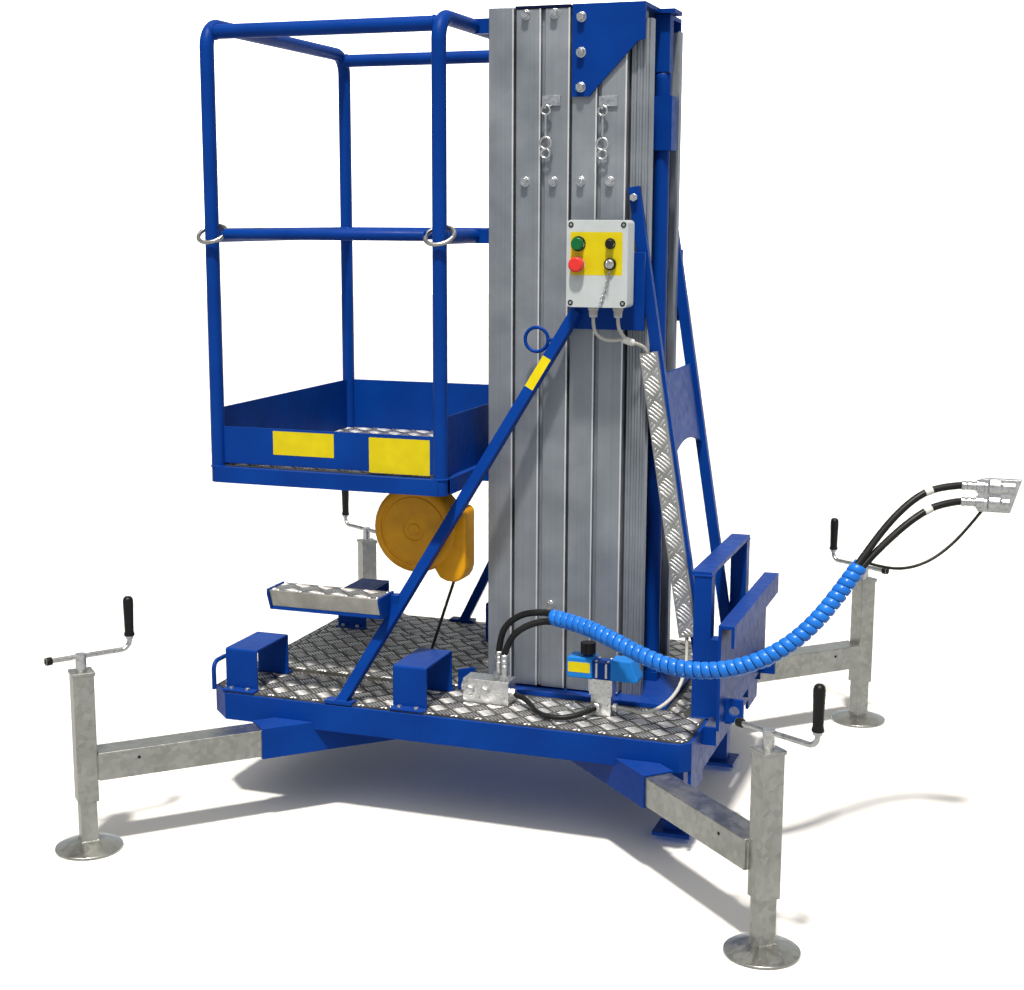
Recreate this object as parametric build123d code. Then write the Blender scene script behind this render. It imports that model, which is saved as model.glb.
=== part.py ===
from build123d import *
import os
from math import cos, pi, radians, sin, sqrt, tan

os.makedirs("parts", exist_ok=True)

# Aerial work platform: a telescopic mast lift on a base with four outriggers.
# Millimetres. +X points to the loader hitch, +Y away from the entry side, +Z up from the ground.
# The origin is on the ground, midway between the four jacks.

# Driving dimensions: base
base_front = -720          # basket end of the base frame
base_rear = 585            # hitch end of the base frame
base_half = 458            # half the base's width
frame_top = 305
frame_height = 70
frame_flange = 40
frame_wall = 5
front_chamfer = 62
rear_chamfer = 24
beam_y = 195               # centre of each long beam
beam_width = 40
deck_inset = 8
deck_thickness = 4
tie_plate_half = 210       # plate over the crossing of the sleeves
sleeve_recess = 20         # sleeves let into the underside of the frame
skirt_thickness = 8        # plate under the hitch end, deeper at its corners
skirt_depth = 40
skirt_corner = (300, 67)   # where the deeper corners begin, and their depth
foot_x = 512               # parking feet under the hitch end
foot_y = 275
foot_post = 50
foot_plate = 96
foot_plate_thickness = 10
foot_clear = 15            # parking foot above the ground
foot_top_plate = 8         # plate that carries the foot under the hitch end's channel
hoop_rod = 12
hoop_x = -704
hoop_edge = 26             # lashing hoop's outer leg from the base's near side
hoop_span = 80
hoop_height = 74
hoop_bend = 22
hoop_clear = 0.5           # hoop in its holes in the deck

# Fork pockets on the deck
pocket_front = (-668, -190)  # front edge of each pocket pair
pocket_length = 92
pocket_edge = 26           # pocket's outer wall from the base's side
pocket_width = 180
pocket_height = 112
pocket_wall = 6
pocket_flange = 22
centre_deck_gap = 8        # centre deck from the pockets' flanges
centre_deck_front = -685
centre_deck_thickness = 6

# Outriggers, on the diagonals
pad_offset = 834           # jack axis from the middle, along X and along Y
sleeve_width = 80
sleeve_wall = 4
sleeve_start = 100         # along the diagonal
sleeve_end = 745
arm_width = 70
arm_wall = 4
arm_start = 420
jack_width = 50
jack_wall = 4
jack_bottom = 125
jack_top = 445
cap_width = 56
cap_thickness = 8
leg_width = 40
leg_wall = 3
leg_top = 350
nut_thickness = 20
pad_diameter = 164
pad_rim = 6
pad_dome = 22
pad_boss = 62
screw_diameter = 20
screw_bottom = 190
screw_clear = 0.5
neck_diameter = 26
neck_height = 36
crank_rod = 12
crank_reach = 125
crank_tail = 80
crank_bend = 22
crank_cap = 18
crank_cap_length = 14
grip_diameter = 26
grip_gap = 32              # grip's foot above the crank rod's axis
grip_length = 94
grip_clear = 0.4
crank_angle = {"front_left": 55, "rear_left": -30, "rear_right": 147, "front_right": 150}
corner_sign = {"front_left": (-1, -1), "rear_left": (1, -1), "rear_right": (1, 1), "front_right": (-1, 1)}

# Mast sections, stacked along X
mast_half = 180
section_gap = 6
section_front = -25        # front face of section 3
carriage_depth = 66
section_depth = 139
section_wall = 5
section_bottom = 325
section_1_top = 2036
section_2_rise = 4         # section 2's top above section 1's
carriage_rise = 9          # section 3's top above section 1's
fixed_drop = 26            # fixed section's top below section 1's
fixed_half = 160
fixed_depth = 50
fixed_wall = 6
fixed_lip = 28
cylinder_channel = 36      # half-width of the lift cylinder's channel in the fixed section
flute_radius = 5
flute_out = 2              # flute's middle outside the side face
flute_shares = (0.2, 0.5, 0.8)  # where the flutes are across the side face
rail_y = 105               # T-rails and C-slots from the centre plane
rail_stem = 22
rail_head = 46
rail_head_thickness = 12
slot_lip = 8
slot_clear = 0.3
slot_wall = 5
groove_width = 10
groove_depth = 12
mast_foot_thickness = 12
mast_foot_front = -55
mast_foot_rear = 470
mast_foot_half = 215
foot_gusset_height = 56     # small plates at the mast foot's front corners
foot_gusset_run = 34

# Lift cylinder, gusset, caps and pulleys
cylinder_x = 376
barrel_radius = 20
barrel_bore = 16
barrel_bottom = 345
barrel_end = 20
head_drop = 331            # cylinder head's foot below section 1's top
head_height = 133
head_size = (62, 60)
head_front = 31            # cylinder head's front from the axis
head_chamfer = (14, 59)    # at the head's lower front edge, along X and Z
gland_radius = 21
gland_height = 40
rod_radius = 12.5
running_clear = 0.05
piston_gap = 3             # piston above the barrel's floor at rest
piston_length = 30
rod_block = 40
rod_block_height = 141
gusset_thickness = 8
gusset_depth = 184         # gusset's rear edge from section 1's front
gusset_points = ((184, 76), (166, 81), (62, 189), (46, 208))  # from section 1's front, and below its top
gusset_drop = 208
top_plate_thickness = 10
top_plate_tongue = (412, 40)  # rear end and half-width of the part over the lift cylinder
section_cap_thickness = 7
cap_overlap = 2
pulley_radius = 45
pulley_width = 16
pulley_axle = 10
pulley_drop = 66           # pulley axis below its section's top
pulley_groove = 8

# Fasteners and hooks on the sections
bolt_head = 20
bolt_height = 14
bolt_columns = (25, 99)    # bolts from their section's front
bolt_rows = {1: (411,), 2: (14, 415)}  # bolts below their section's top
low_bolt = 222             # single bolt above section 2's foot
gusset_bolt_rows = (21, 104, 186)
hook_column = 83.5         # hook from its section's front
hook_below = 232           # hook's pivot below its section's top
hook_pivot_out = 17        # pivot in front of the section's face
lug_width = 46
lug_shift = 10             # lug's middle behind the hook
lug_height = 24
lug_plate = 6
lug_tab = 16
lug_clear = 0.75           # lug's eye around the hook's wire, which curves in it
hook_wire = 3
hook_length = 126
hook_ring = 14

# Braces, collar, step
front_brace_foot_x = -333
front_brace_foot_edge = 18 # brace's foot from the base's side
front_brace_top = (221, 214)
front_brace_rise = 44      # front braces' top above the collar's foot
brace_width = 26
brace_wall = 3
brace_foot_plate = (76, 34, 8)
ring_drop = 71             # lashing ring's middle below the brace's top
ring_reach = 60            # lashing ring's middle in front of the brace's middle
ring_radius = 30
ring_wire = 4.5
rear_brace_top = (351, 1612)  # X and Z
rear_brace_foot = 562
rear_brace_width = 28
rear_brace_depth = 22
rear_bolt_drop = 26
web_top = 1155
web_bottom = 940
web_thickness = 8
web_arch = 440
web_arch_rise = 35
collar_front = 200
collar_rear = 390
collar_drop = 581          # collar's top below section 1's top
collar_height = 190
collar_thickness = 8
collar_gap = 37            # collar plate from the fixed section's side
spacer_x = (338, 360)
cover_width = 44
cover_shift = -15          # cover's middle behind the brace's middle
cover_depth = 24
cover_wall = 3
cover_top = 1214
cover_bottom = 503
step_front = -520
step_rear = -216
step_out = 2               # step's front beyond the base's side
step_depth = 88
step_top = 596
step_lip = 42
step_lip_set = 16          # lip's foot behind its top
step_skirt = 9            # tray below the lip
step_end_rise = 2          # end plates beyond the tread
step_end_nose = 14         # height of the end plates' upright front edge
step_sheet = 4
step_rib = 6
step_bracket = 26

# Control box
box_left = 224
box_right = 376
box_rise = 60              # control box's foot above the collar's foot
box_height = 207
box_face = -316
box_back = -256
box_wall = 4
lid_depth = 18
box_corner = 10
box_rail = 20
screw_radius = 4.5
screw_inset = 11
screw_proud = 1
button_travel = 5
button_clear = 0.4
start_button = (254, 151, 15, 12)      # X, height above the box's foot, cap radius, cap height
stop_button = (253, 102, 18, 20)
lower_button = (333, 152, 10, 10)
key_switch = (334, 104, 12, 14)
button_stem = 7
key_size = (3, 18, 22)
gland_x = (282, 344)
gland_y = -278
gland_length = 25
gland_size = 10

# Hitch
portal_half = 249
portal_top = 682
portal_front = 534
portal_post = (44, 40)     # along X and along Y
portal_plate = 10
hitch_face = 625
hitch_half = 312
hitch_plate = 8
hitch_top = 566
hitch_bottom = 300
hook_out = 32
hook_drop = 54
rib_thickness = 10
rib_y = (-300, -120, 120, 300)
lug_pin_radius = 13
lock_lug = (44, 12, 60)    # along X, Y and Z
lock_lug_y = 230

# Basket
basket_front = -690        # post centres
basket_rear = -70
basket_half = 399
tube_diameter = 36
tube_wall = 3
floor_bottom = 859
floor_frame = 40
floor_frame_wall = 3
floor_plate = 4
toe_height = 147
entry_toe_height = 101
entry_toe_gap = 10         # slot under the entry toe board
toe_thickness = 3
rail_top = 1989            # centre of the near and far top rails
hoop_radius = 55           # bends of the two end hoops
rail_middle = 1490
bar_diameter = 27
bar_ring = (36, 5.5)       # ring's middle radius and wire radius
bar_ring_tilt = 35
bar_gap = 0.5              # ring above the side rail it rests on
bracket_y = 130
bracket_width = 60
clamp_y = 158
clamp_width = 24

# Cable reel and its cable
reel_x = -188
reel_z = 744
reel_radius = 114
reel_front = -292
reel_depth = 84
reel_nose = (-136, -30, 612)  # front, rear and foot
reel_hanger = (90, 40)
reel_cable_radius = 4
reel_cable_top = (-94, -242)
reel_cable_foot = (-198, -205)
deck_gland = (11, 22)      # radius and height

# Hydraulics on the deck
block_x = (-42, 82)
block_y = (-322, -262)
block_height = 62
tail_radius = 11
tail_at = ((41, -276), (66, -306))
tail_top = 440
valve_x = (235, 424)
valve_y = (-330, -275)
valve_bottom = 405
valve_top = 458
sub_x = (297, 357)
sub_y = (-326, -279)
sub_bottom = 364
pedestal_inset = 4
knob_x = 287
knob_radius = 19
knob_height = 28
knob_stem = 8
knob_gap = 6
deck_hose_radius = 7

# Loader hoses, guard and coupler
hose_radius = 8.5
guard_radius = 21
lead_radius = 3.5
coupler_x = (1196, 1292)
coupler_y = -180
coupler_depth = 44
coupler_z = (864, 942)
ferrule_radius = 11
ferrule_length = 38
control_lead_radius = 4.5

# Routes of the cords, as points in order
guard_route = (
    (185, -290, 545), (273, -330, 544), (364, -380, 530), (450, -420, 507), (520, -446, 493),
    (607, -456, 490),
    (698, -450, 507), (775, -430, 542), (840, -400, 593), (898, -360, 665), (951, -310, 749),
)
hose_tail_a = (
    (41, -276, 440), (46, -277, 486), (70, -279, 520), (105, -283, 543), (145, -287, 553),
    (185, -290, 555)
)
hose_tail_b = ((66, -306, 440), (78, -304, 479), (105, -299, 508), (143, -294, 527), (185, -290, 535))
hose_end_a = ((951, -310, 759), (1002, -272, 838), (1056, -236, 895), (1106, -204, 919), (1158, -180, 922))
hose_end_b = ((951, -310, 739), (1010, -272, 805), (1062, -240, 852), (1112, -206, 880), (1158, -180, 884))
coupler_lead = (
    (968, -302, 745), (1010, -290, 733), (1058, -262, 733), (1102, -236, 750), (1142, -212, 782),
    (1176, -194, 822),
    (1206, -180, 864),
)
control_lead_a = (
    (282, -278, 1300), (282, -278, 1269), (299, -270, 1248), (322, -256, 1241), (348, -240, 1245)
)
control_lead_b = ((344, -278, 1300), (344, -277, 1280), (347, -262, 1262), (353, -240, 1248))
cover_lead = ((370, -226, 1236), (384, -211, 1231), (395, -197, 1219), (401, -190, 1198))
valve_lead = (
    (512, -192, 520), (518, -202, 455), (520, -250, 408), (511, -308, 376), (478, -346, 350),
    (436, -344, 334),
    (394, -312, 334), (353, -312, 334),
)
deck_hose_route = (
    (82, -300, 338), (120, -312, 334), (150, -344, 327), (178, -382, 321), (220, -404, 320), (264, -398, 322),
    (298, -366, 328), (318, -322, 332),
)


def block(x, y, z):
    """A box from its low and high values along X, Y and Z."""
    size = [high - low for low, high in (x, y, z)]
    middle = [(low + high) / 2 for low, high in (x, y, z)]
    return Pos(*middle) * Box(*size)


def patch(x, y):
    """A flat rectangle from its low and high values along X and Y."""
    return Pos((x[0] + x[1]) / 2, (y[0] + y[1]) / 2) * Rectangle(x[1] - x[0], y[1] - y[0])


def rod(start, end, radius):
    """A round bar between two points."""
    run = Vector(*end) - Vector(*start)
    return extrude(Plane(origin=start, z_dir=run) * Circle(radius), run.length)


def tube(start, end, radius, wall):
    """A round tube between two points."""
    return rod(start, end, radius) - rod(start, end, radius - wall)


def beam(start, end, width, depth, side=(1, 0, 0), wall=0):
    """A rectangular bar between two points, or a tube where it has a wall. side is its width's direction."""
    run = Vector(*end) - Vector(*start)
    section = Rectangle(width, depth)
    if wall:
        section -= Rectangle(width - 2 * wall, depth - 2 * wall)
    return extrude(Plane(origin=start, x_dir=side, z_dir=run) * section, run.length)


def hexagon(place, radius, height):
    """A bolt head on a plane."""
    return extrude(place * RegularPolygon(radius, 6), height)


def bend_radii(points):
    """Each bend's radius: as large as its two runs allow."""
    runs = [Vector(*b) - Vector(*a) for a, b in zip(points, points[1:])]
    radii = []
    for before, after in zip(runs, runs[1:]):
        turn = radians(before.get_angle(after))
        radii.append(0.45 * min(before.length, after.length) / tan(turn / 2))
    return radii


def cord(name, points, radius):
    """A round cord of straight runs and tangent arcs. It prints its tightest bend and its length."""
    radii = bend_radii(points)
    path = FilletPolyline(*points, radius=radii)
    section = Plane(origin=path @ 0, z_dir=path % 0) * Circle(radius)
    solid = sweep(section, path=path)
    share = solid.volume / (pi * radius**2 * path.length)
    print(f"{name}: length {path.length:.0f}, tightest bend {min(radii):.0f}, volume share {share:.4f}")
    return solid


def both_sides(*pieces):
    """Pieces and their mirror images across the centre plane."""
    return [*pieces, *(piece.mirror(Plane.XZ) for piece in pieces)]


def cut_by(piece, tools):
    """Take the tools away from a piece and keep its largest solid."""
    for tool in tools:
        piece -= tool
    return max(piece.solids(), key=lambda solid: solid.volume)


def solids_of(pieces):
    """All solids in a list of shapes."""
    return [solid for piece in pieces for solid in piece.solids()]


# Base
frame_bottom = frame_top - frame_height
deck_top = frame_top + deck_thickness
pocket_outer = base_half - pocket_edge
pocket_inner = pocket_outer - pocket_width
centre_deck_half = pocket_inner - pocket_flange - centre_deck_gap
hoop_y = (-base_half + hoop_edge, -base_half + hoop_edge + hoop_span)
sleeve_top = frame_bottom + sleeve_recess
sleeve_z = sleeve_top - sleeve_width / 2
pad_radius_out = pad_offset * sqrt(2)      # jack axis from the middle, along the diagonal


def base_outline(inset):
    """The base's outline with cut corners, moved in by inset."""
    cut_front = front_chamfer - inset * (2 - sqrt(2))
    cut_rear = rear_chamfer - inset * (2 - sqrt(2))
    x0, x1, half = base_front + inset, base_rear - inset, base_half - inset
    corners = [(x0 + cut_front, -half), (x1 - cut_rear, -half), (x1, -half + cut_rear)]
    corners += [(x1, half - cut_rear), (x1 - cut_rear, half), (x0 + cut_front, half)]
    corners += [(x0, half - cut_front), (x0, -half + cut_front)]
    return make_face(Polyline(*corners, close=True))


def frame_members():
    """The perimeter channel, parted into its two sides and two ends."""
    ring = Pos(0, 0, frame_bottom) * extrude(base_outline(0), frame_height)
    ring -= Pos(0, 0, frame_bottom + frame_wall) * extrude(
        base_outline(frame_wall), frame_height - 2 * frame_wall
    )
    core = (base_front + frame_flange, base_rear - frame_flange)
    side = base_half - frame_flange
    ring -= block(core, (-side, side), (frame_bottom, frame_top))
    height = (frame_bottom, frame_top)
    wide = (base_front, base_rear)
    near = ring & block(wide, (-base_half, -side), height)
    far = ring & block(wide, (side, base_half), height)
    front = ring & block((base_front, core[0]), (-side, side), height)
    rear = ring & block((core[1], base_rear), (-side, side), height)
    return [near, far, front, rear]


def on_diagonal(piece, corner):
    """Turn a piece built along +X onto a corner's diagonal."""
    sx, sy = corner_sign[corner]
    turn = {(1, 1): 45, (-1, 1): 135, (-1, -1): 225, (1, -1): 315}[(sx, sy)]
    return Rot(0, 0, turn) * piece


def sleeve_bar(corner):
    """A sleeve's outer form, for cutting what meets it."""
    bar = beam((sleeve_start, 0, sleeve_z), (sleeve_end, 0, sleeve_z), sleeve_width, sleeve_width, (0, 1, 0))
    return on_diagonal(bar, corner)


def build_base_frame():
    pieces = frame_members()
    inner = (frame_bottom + frame_wall, frame_top - frame_wall)
    span = (base_front + frame_wall, base_rear - frame_wall)
    middle = (inner[0] + inner[1]) / 2
    long_beam = beam(
        (span[0], -beam_y, middle), (span[1], -beam_y, middle), beam_width, inner[1] - inner[0],
        (0, 1, 0), frame_wall
    )
    pieces += both_sides(long_beam)
    for corner in corner_sign:
        pieces = [piece - sleeve_bar(corner) for piece in pieces]
    tie_x = (-tie_plate_half, tie_plate_half)
    tie_y = (-beam_y + beam_width / 2, beam_y - beam_width / 2)
    pieces.append(block(tie_x, tie_y, (sleeve_top, sleeve_top + frame_wall)))
    for corner in corner_sign:
        sleeve = beam(
            (sleeve_start, 0, sleeve_z), (sleeve_end, 0, sleeve_z), sleeve_width, sleeve_width,
            (0, 1, 0), sleeve_wall
        )
        pieces.append(on_diagonal(sleeve, corner))
    skirt_x = (base_rear - skirt_thickness, base_rear)
    skirt_half = base_half - rear_chamfer
    corner_start, corner_depth = skirt_corner
    skirt = block(skirt_x, (-skirt_half, skirt_half), (frame_bottom - skirt_depth, frame_bottom))
    for y in ((-skirt_half, -corner_start), (corner_start, skirt_half)):
        skirt += block(skirt_x, y, (frame_bottom - corner_depth, frame_bottom - skirt_depth))
    pieces.append(skirt)
    plate_z = (foot_clear, foot_clear + foot_plate_thickness)
    around = (foot_x - foot_post / 2, foot_x + foot_post / 2)
    across = (-foot_y - foot_post / 2, -foot_y + foot_post / 2)
    top_plate = block((around[0], skirt_x[0]), across, (frame_bottom - foot_top_plate, frame_bottom))
    post = block(around, across, (plate_z[1], frame_bottom - foot_top_plate))
    rim = (foot_plate - foot_post) / 2
    sole = block((around[0] - rim, around[1] + rim), (across[0] - rim, across[1] + rim), plate_z)
    pieces += both_sides(top_plate, post, sole)
    path = FilletPolyline(
        (hoop_x, hoop_y[0], frame_top), (hoop_x, hoop_y[0], frame_top + hoop_height),
        (hoop_x, hoop_y[1], frame_top + hoop_height), (hoop_x, hoop_y[1], frame_top), radius=hoop_bend,
    )
    pieces.append(sweep(Plane(origin=path @ 0, z_dir=path % 0) * Circle(hoop_rod / 2), path=path))
    foot_z = (deck_top, deck_top + mast_foot_thickness)
    pieces.append(block((mast_foot_front, mast_foot_rear), (-mast_foot_half, mast_foot_half), foot_z))
    gusset_z = deck_top + foot_gusset_height / 2
    gusset = beam(
        (mast_foot_front - foot_gusset_run, -mast_foot_half - foot_gusset_run / 2, gusset_z),
        (mast_foot_front, -mast_foot_half + foot_gusset_run / 2, gusset_z),
        frame_wall, foot_gusset_height, (1, -1, 0),
    )
    gusset -= block(
        (centre_deck_front, mast_foot_front), (-centre_deck_half, centre_deck_half),
        (deck_top, deck_top + centre_deck_thickness),
    )
    gusset -= block((mast_foot_front, mast_foot_rear), (-mast_foot_half, mast_foot_half), foot_z)
    pieces += both_sides(gusset)
    return pieces


def build_deck_plates():
    lower = Pos(0, 0, frame_top) * extrude(base_outline(deck_inset), deck_thickness)
    hoop_hole = hoop_rod / 2 + hoop_clear
    for y in hoop_y:
        lower -= rod((hoop_x, y, frame_top), (hoop_x, y, deck_top), hoop_hole)
    centre = block(
        (centre_deck_front, mast_foot_front), (-centre_deck_half, centre_deck_half),
        (deck_top, deck_top + centre_deck_thickness),
    )
    return [lower, centre]


def pocket_spans():
    """Front and rear edge of each fork pocket pair."""
    return [(front, front + pocket_length) for front in pocket_front]


def build_fork_pockets():
    pieces = []
    for span in pocket_spans():
        top = deck_top + pocket_height
        pocket = block(span, (-pocket_outer, -pocket_inner), (deck_top, top))
        pocket -= block(
            span, (-pocket_outer + pocket_wall, -pocket_inner - pocket_wall),
            (deck_top, top - pocket_wall)
        )
        pocket = fillet(pocket.edges().filter_by(Axis.X).group_by(Axis.Z)[-1], pocket_wall)
        foot = (deck_top, deck_top + pocket_wall)
        pocket += block(span, (-pocket_outer - pocket_flange, -pocket_outer), foot)
        pocket += block(span, (-pocket_inner, -pocket_inner + pocket_flange), foot)
        pieces += both_sides(pocket)
    return pieces


# Outriggers
arm_z = sleeve_z
neck_foot = jack_top + cap_thickness
crank_z = neck_foot + neck_height


def build_arm(corner):
    """Sliding arm with the jack's outer tube and its cap, built along +X."""
    face = pad_radius_out - jack_width / 2
    arm = beam((arm_start, 0, arm_z), (face, 0, arm_z), arm_width, arm_width, (0, 1, 0), arm_wall)
    jack = beam(
        (pad_radius_out, 0, jack_bottom), (pad_radius_out, 0, jack_top), jack_width, jack_width,
        (1, 0, 0), jack_wall
    )
    cap = block(
        (pad_radius_out - cap_width / 2, pad_radius_out + cap_width / 2), (-cap_width / 2, cap_width / 2),
        (jack_top, neck_foot),
    )
    cap -= rod(
        (pad_radius_out, 0, jack_top), (pad_radius_out, 0, neck_foot), screw_diameter / 2 + screw_clear
    )
    return [on_diagonal(piece, corner) for piece in (arm, jack, cap)]


def build_leg(corner):
    """Jack leg with its nut and dished pad, built along +X."""
    leg = beam(
        (pad_radius_out, 0, pad_dome), (pad_radius_out, 0, leg_top), leg_width, leg_width, (1, 0, 0), leg_wall
    )
    half = leg_width / 2 - leg_wall
    nut = block(
        (pad_radius_out - half, pad_radius_out + half), (-half, half), (leg_top - nut_thickness, leg_top)
    )
    nut -= rod(
        (pad_radius_out, 0, leg_top - nut_thickness), (pad_radius_out, 0, leg_top),
        screw_diameter / 2 + screw_clear
    )
    profile = make_face(Polyline(
        (0, 0), (pad_diameter / 2, 0), (pad_diameter / 2, pad_rim), (pad_boss / 2, pad_dome),
        (0, pad_dome), close=True
    ))
    dish = revolve(Plane.XZ * profile, Axis.Z)
    return [on_diagonal(piece, corner) for piece in (leg, nut, Pos(pad_radius_out, 0, 0) * dish)]


def at_jack(piece, corner):
    """Place a crank piece, built about the Z axis, on a corner's jack at its photographed angle."""
    sx, sy = corner_sign[corner]
    return Pos(sx * pad_offset, sy * pad_offset, 0) * Rot(0, 0, crank_angle[corner]) * piece


grip_foot = crank_z + grip_gap
grip_top = grip_foot + grip_length


def build_crank(corner):
    """Crank rod with its tail cap, neck and screw spindle, built about the Z axis."""
    path = FilletPolyline(
        (-crank_tail, 0, crank_z), (crank_reach, 0, crank_z), (crank_reach, 0, grip_top), radius=crank_bend
    )
    crank = sweep(Plane(origin=path @ 0, z_dir=path % 0) * Circle(crank_rod / 2), path=path)
    crank += rod(
        (-crank_tail - crank_cap_length / 2, 0, crank_z), (-crank_tail + crank_cap_length / 2, 0, crank_z),
        crank_cap / 2
    )
    crank += rod((0, 0, neck_foot), (0, 0, crank_z + crank_rod / 2), neck_diameter / 2)
    crank += rod((0, 0, screw_bottom), (0, 0, neck_foot), screw_diameter / 2)
    collar = rod((crank_reach, 0, grip_foot - crank_rod / 2), (crank_reach, 0, grip_foot), crank_rod * 0.8)
    return [at_jack(crank + collar, corner)]


def build_grip(corner):
    """Grip on the crank's upturned end."""
    sleeve = rod((crank_reach, 0, grip_foot), (crank_reach, 0, grip_top + crank_rod / 2), grip_diameter / 2)
    sleeve -= rod(
        (crank_reach, 0, grip_foot), (crank_reach, 0, grip_top + grip_clear), crank_rod / 2 + grip_clear
    )
    return [at_jack(sleeve, corner)]


# Mast
section_3_x = (section_front, section_front + carriage_depth)
section_2_x = (section_3_x[1] + section_gap, section_3_x[1] + section_gap + section_depth)
section_1_x = (section_2_x[1] + section_gap, section_2_x[1] + section_gap + section_depth)
fixed_x = (section_1_x[1] + section_gap, section_1_x[1] + section_gap + fixed_depth)
section_2_top = section_1_top + section_2_rise
carriage_top = section_1_top + carriage_rise
fixed_top = section_1_top - fixed_drop
slot_depth = slot_lip + rail_head_thickness + 2 * slot_clear
mast_foot_top = deck_top + mast_foot_thickness


def rail_profile(face):
    """Two T-rails that stand on a section's rear face."""
    stem_end = face + section_gap + slot_lip + slot_clear
    profile = Sketch()
    for y in (-rail_y, rail_y):
        profile += patch((face, stem_end), (y - rail_stem / 2, y + rail_stem / 2))
        profile += patch((stem_end, stem_end + rail_head_thickness), (y - rail_head / 2, y + rail_head / 2))
    return profile


def slot_profile(face):
    """Two C-slots in a section's front face."""
    profile = Sketch()
    mouth = rail_stem / 2 + slot_clear
    pocket = rail_head / 2 + slot_clear
    for y in (-rail_y, rail_y):
        profile += patch((face, face + slot_lip), (y - mouth, y + mouth))
        profile += patch((face + slot_lip, face + slot_depth), (y - pocket, y + pocket))
    return profile


def slot_bosses(face):
    """The walls around the C-slots."""
    profile = Sketch()
    pocket = rail_head / 2 + slot_clear + slot_wall
    for y in (-rail_y, rail_y):
        profile += patch((face, face + slot_depth + slot_wall), (y - pocket, y + pocket))
    return profile


def side_grooves(x, half, extra=0):
    """The groove along the middle of each side face, or its wall where extra is given."""
    middle = (x[0] + x[1]) / 2
    span = (middle - groove_width / 2 - extra, middle + groove_width / 2 + extra)
    depth = groove_depth + extra
    return patch(span, (-half, -half + depth)) + patch(span, (half - depth, half))


def section_profile(x, slots):
    """A mast section's outline from above: a hollow box with rails, slots and grooves where it has them."""
    front_wall = slot_lip if slots else section_wall
    hollow = patch(
        (x[0] + front_wall, x[1] - section_wall), (-mast_half + section_wall, mast_half - section_wall)
    )
    if slots:
        hollow -= slot_bosses(x[0])
        hollow -= side_grooves(x, mast_half, section_wall)
    profile = patch(x, (-mast_half, mast_half)) - hollow + rail_profile(x[1])
    if slots:
        profile -= slot_profile(x[0])
        profile -= side_grooves(x, mast_half)
    return profile


def rise(profile, bottom, top):
    """Raise a profile between two heights."""
    return Pos(0, 0, bottom) * extrude(profile, top - bottom)


def build_section_1():
    return [rise(section_profile(section_1_x, True), section_bottom, section_1_top)]


def build_section_2():
    return [rise(section_profile(section_2_x, True), section_bottom, section_2_top)]


def build_section_3():
    return [rise(section_profile(section_3_x, False), section_bottom, carriage_top)]


def build_fixed_mast():
    front = (fixed_x[0], fixed_x[0] + slot_depth + slot_wall)
    hollow = patch(
        (front[0] + slot_lip, front[1] - slot_wall), (-fixed_half + fixed_wall, fixed_half - fixed_wall)
    )
    hollow -= slot_bosses(front[0])
    profile = patch(front, (-fixed_half, fixed_half)) - hollow - slot_profile(front[0])
    profile -= patch((front[0] + slot_lip, front[1]), (-cylinder_channel, cylinder_channel))
    for side in (-1, 1):
        outer = sorted((side * fixed_half, side * (fixed_half - fixed_wall)))
        lip = sorted((side * fixed_half, side * (fixed_half - fixed_lip)))
        profile += patch((front[1], fixed_x[1]), outer)
        profile += patch((fixed_x[1] - fixed_wall, fixed_x[1]), lip)
        for share in flute_shares:
            at = Pos(fixed_x[0] + share * fixed_depth, side * (fixed_half + flute_out))
            profile -= at * Circle(flute_radius)
    return [rise(profile, mast_foot_top, fixed_top)]


def hung_bolts(points, face):
    """Hexagon heads on a side face of the mast, and on the face across from it. points are X and Z."""
    pieces = []
    for x, z in points:
        head = hexagon(Plane(origin=(x, -face, z), z_dir=(0, -1, 0)), bolt_head / 2, bolt_height)
        pieces += both_sides(head)
    return pieces


def hook_pivot(section_x, top):
    """Where a section's snap hook hangs."""
    return section_x[0] + hook_column, -mast_half - hook_pivot_out, top - hook_below


def hook_lug(section_x, top):
    """Plate with an eye tab, on a section's near face."""
    x, y, z = hook_pivot(section_x, top)
    reach = lug_tab / 2
    middle = x + lug_shift
    plate = block(
        (middle - lug_width / 2, middle + lug_width / 2), (-mast_half - lug_plate, -mast_half),
        (z, z + lug_height)
    )
    plate += block((x - hook_wire, x + hook_wire), (y - reach, -mast_half), (z - reach, z + reach))
    return plate - rod((x - hook_wire, y, z), (x + hook_wire, y, z), hook_wire + lug_clear)


def build_snap_hook(section_x, top):
    """A snap hook that hangs from its lug's eye."""
    x, y, z = hook_pivot(section_x, top)
    eye = hook_ring - hook_wire
    low = z - hook_length
    top_eye = Pos(x, y, z - eye) * Rot(90, 0, 0) * Torus(eye, hook_wire)
    tip = Pos(x, y, low + eye) * Rot(90, 0, 0) * Torus(eye, hook_wire)
    ring = Pos(x, y, low + 2 * eye + hook_ring) * Rot(90, 0, 0) * Torus(hook_ring, hook_wire)
    shank = rod((x, y, z - 2 * eye), (x, y, low + 2 * eye + 2 * hook_ring), hook_wire)
    return [top_eye + ring + tip + shank]


def pulley_place(section_x, top):
    """Axis point of a section's chain pulley."""
    return ((section_x[0] + slot_depth + slot_wall + section_x[1] - section_wall) / 2, top - pulley_drop)


def build_pulley(section_x, top):
    x, z = pulley_place(section_x, top)
    half = pulley_width / 2
    wheel = rod((x, -half, z), (x, half, z), pulley_radius)
    groove = Pos(x, 0, z) * Rot(90, 0, 0) * Torus(pulley_radius + pulley_groove / 2, pulley_groove)
    return [wheel - groove - rod((x, -half, z), (x, half, z), pulley_axle + running_clear)]


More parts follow.
